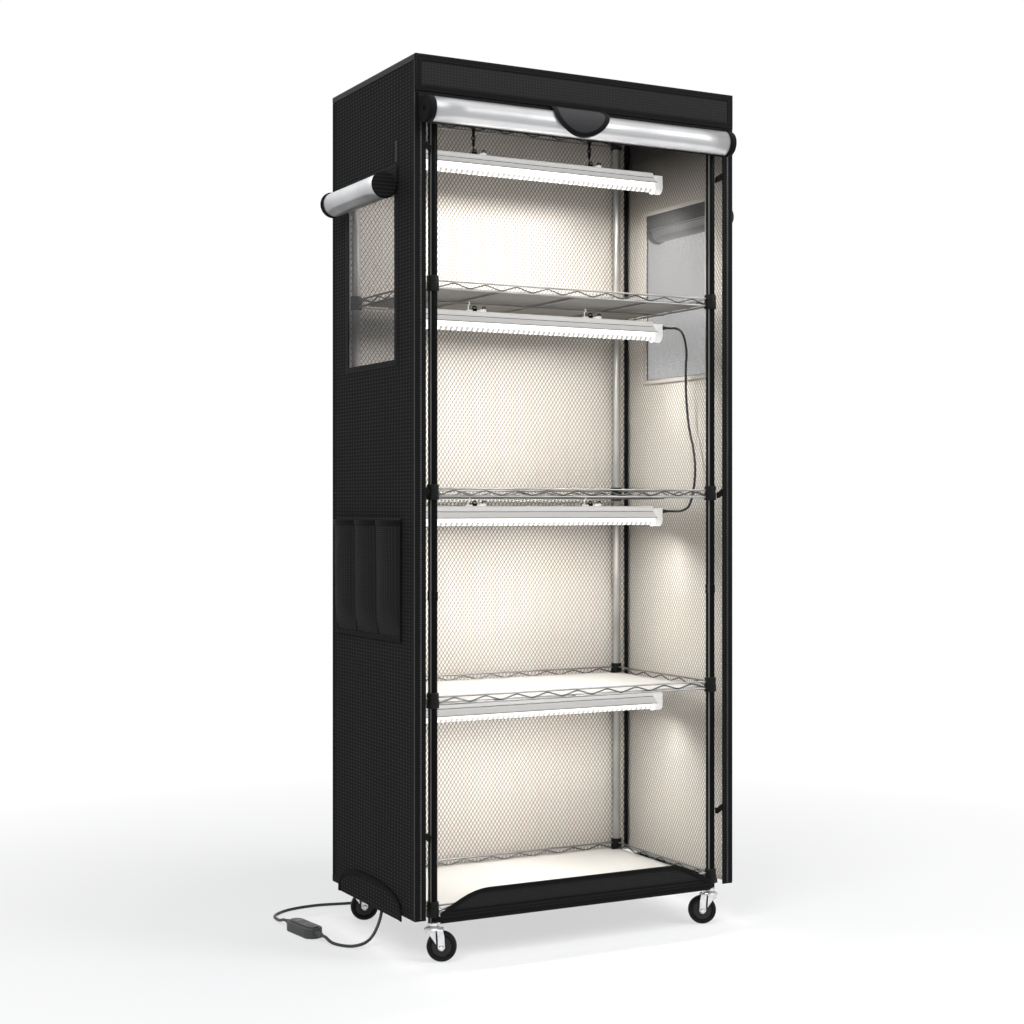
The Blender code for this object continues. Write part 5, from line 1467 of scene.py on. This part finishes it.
def badge():
    """The half-round flap over the middle of the door roll, bound along its round edge and plain."""
    low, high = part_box("badge_flap")
    roll_low, roll_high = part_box("door_roll")
    centre = Vector(((roll_low.y + roll_high.y) / 2, (roll_low.z + roll_high.z) / 2))
    roll_r = (roll_high.z - roll_low.z) / 2
    x_mid, half = (low.x + high.x) / 2 - 0.007, (high.x - low.x) / 2
    radius = roll_r + 0.0022
    start = Vector((roll_high.y - 0.0016, HEADER_LOW + 0.0022))
    away = start - centre
    touch = math.degrees(math.atan2(away.y, away.x) + math.acos(radius / away.length))
    touching = Vector(arc(centre, radius, touch, touch, 1)[0])
    straight = (touching - start).length
    round_from = start.y - touching.y
    height = high.z - low.z - 0.0006

    def section(s):
        """The point and the outward way at a distance down the flap."""
        if s < straight:
            way = (touching - start).normalized()
            return start.lerp(touching, s / straight), Vector((-abs(way.y), abs(way.x))).normalized()
        angle = math.radians(touch) + (s - straight) / radius
        out = Vector((math.cos(angle), math.sin(angle)))
        return centre + out * radius, out

    def way_down(drop):
        """The distance down the flap at which it is drop below its sewn edge."""
        low_s, high_s = 0.0, straight + radius * math.radians(280 - touch)
        for _ in range(40):
            s = (low_s + high_s) / 2
            if start.y - section(s)[0].y < drop:
                low_s = s
            else:
                high_s = s
        return (low_s + high_s) / 2

    def half_width(s):
        down = (start.y - section(s)[0].y - round_from) / (height - round_from)
        return half * (0.95 + 0.05 * ease(s, straight)) * math.sqrt(1 - min(1.0, max(0.0, down)) ** 2)

    reach = way_down(height)
    tip_y = section(reach)[0].x

    def middle_at(y):
        """The flap's middle line: it leans a little towards the right at its sewn edge."""
        return x_mid + 0.33 * (y - tip_y)

    rows = 26
    across = 20
    bm = bmesh.new()
    lines = []
    for j in range(rows + 1):
        s = way_down(height * math.sin(j / rows * math.pi / 2))
        (y, z), _ = section(s)
        wide = half_width(s)
        lines.append([bm.verts.new((middle_at(y) + wide * (2 * k / across - 1), y, z))
                      for k in range(across + 1)])
    join_lines(bm, lines)
    bmesh.ops.remove_doubles(bm, verts=bm.verts, dist=2e-5)
    face_outwards(bm, FORWARD)
    flap = cloth_object("badge_panel", bm, ("badge_cloth",), 0.0013)
    finish_piece(flap, "badge", ("badge_flap",))
    wide = 0.0085
    outline = [(-(half_width(straight * i / 5) - wide / 2), straight * i / 5) for i in range(5)]
    count = 48
    for i in range(count // 2 + 1):
        angle = math.pi * i / count
        outline.append((-(half - wide / 2) * math.cos(angle),
                        way_down(round_from + (height - round_from - wide / 2) * math.sin(angle))))
    outline += [(-x, s) for x, s in outline[-2::-1]]
    path, normals = [], []
    for x, s in outline:
        (y, z), out = section(s)
        path.append(Vector((middle_at(y) + x, y, z)))
        normals.append(Vector((0, out.x, out.y)))
    binding = tape_piece("badge_binding", (path, normals, wide, 0.0010), body="badge")


def pocket():
    """The tool pocket: a bound back, and a slack front sewn down into three cells."""
    low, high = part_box("tool_pocket")
    face = -HALF_W - 0.0004
    y0, y1, z0, z1 = low.y, high.y, low.z, high.z
    cells = 3
    out = (-1, 0, 0)
    ys = steps_between(y0, y1, 0.006)
    zs = steps_between(z0, z1, 0.010)

    def bulge(y, z):
        t = (y - y0) / (y1 - y0) * cells
        swell = abs(math.sin(math.pi * t)) ** 0.55
        rise = ease(z - z0, 0.06) * (0.80 + 0.20 * (z - z0) / (z1 - z0))
        return 0.0148 * swell * rise + 0.0010 * ripple((0, y, z), 0.035, 6.6) * swell * rise

    def front_point(y, z):
        return Vector((face - 0.0016 - bulge(y, z), y, z))

    def back_point(y, z):
        return Vector((face - 0.0009, y, z))

    front = panel("pocket_front", ys, zs, front_point, out, ("pocket_cloth",), thickness=0.0008)
    finish_piece(front, replaced=("tool_pocket",))
    back = panel("pocket_back", ys, steps_between(z0, z1 + 0.004, 0.02), back_point, out,
                 ("pocket_cloth",), thickness=0.0007)
    finish_piece(back)
    lip = [(face - 0.0024 - bulge(y, z1), y, z1 - 0.0040) for y in ys]
    frame_x, frame_y0, frame_y1 = face - 0.0020, y0 + 0.0035, y1 - 0.0035
    runs = [(lip, out, 0.0090, 0.0010),
            ([(frame_x, frame_y0, z1), (frame_x, frame_y0, z0 + 0.004), (frame_x, frame_y1, z0 + 0.004),
              (frame_x, frame_y1, z1)], out, 0.0085, 0.0012)]
    for c in (1, 2):
        y = y0 + (y1 - y0) * c / cells
        runs.append(([(face - 0.0022, y, z0 + 0.004), (face - 0.0022, y, z1)], out, 0.0050, 0.0009))
    tapes = tape_piece("pocket_bindings", *runs)


# Timer and plug
def timer():
    """The timer's case, buttons and plug keep their solids; its rings and lamps are added."""
    finishes = {"controller_case": "case", "time_button": "case", "power_button": "red",
                "mains_plug": "plug"}
    for name, mat in finishes.items():
        repaint(name, mat)
    bm = bmesh.new()
    for at in (0.013, -0.020):
        place = CASE_FRAME @ Matrix.Translation((-at, 0, CASE_H))
        ring = [(0.0048, 0.0), (0.0056, 0.0), (0.0056, 0.00025), (0.0048, 0.00025), (0.0048, 0.0)]
        turned(bm, ring, place, 40)
    for k in (-1, 0, 1):
        place = CASE_FRAME @ Matrix.Translation((-0.0205, 0.0058 * k, CASE_H))
        prism(bm, [(-0.0007, -0.0015), (0.0007, -0.0015), (0.0007, 0.0015), (-0.0007, 0.0015)],
              [(0, 0), (0.0001, 0.00025)], place)
    place = CASE_FRAME @ Matrix.Translation((0.0115, 0, CASE_H))
    turned(bm, [(0, 0), (0.0006, 0), (0.0005, 0.00025), (0, 0.0003)], place, 16)
    closed_piece("timer_marks", bm, ("print",), merge=1e-7)


camera()
cords()
studio()
tier_lamps()
poles()
shelves()
casters()
liners()
lights()
side_walls()
back_wall()
roof()
sill()
rolls()
badge()
pocket()
timer()

bpy.context.scene.view_settings.view_transform = "Standard"
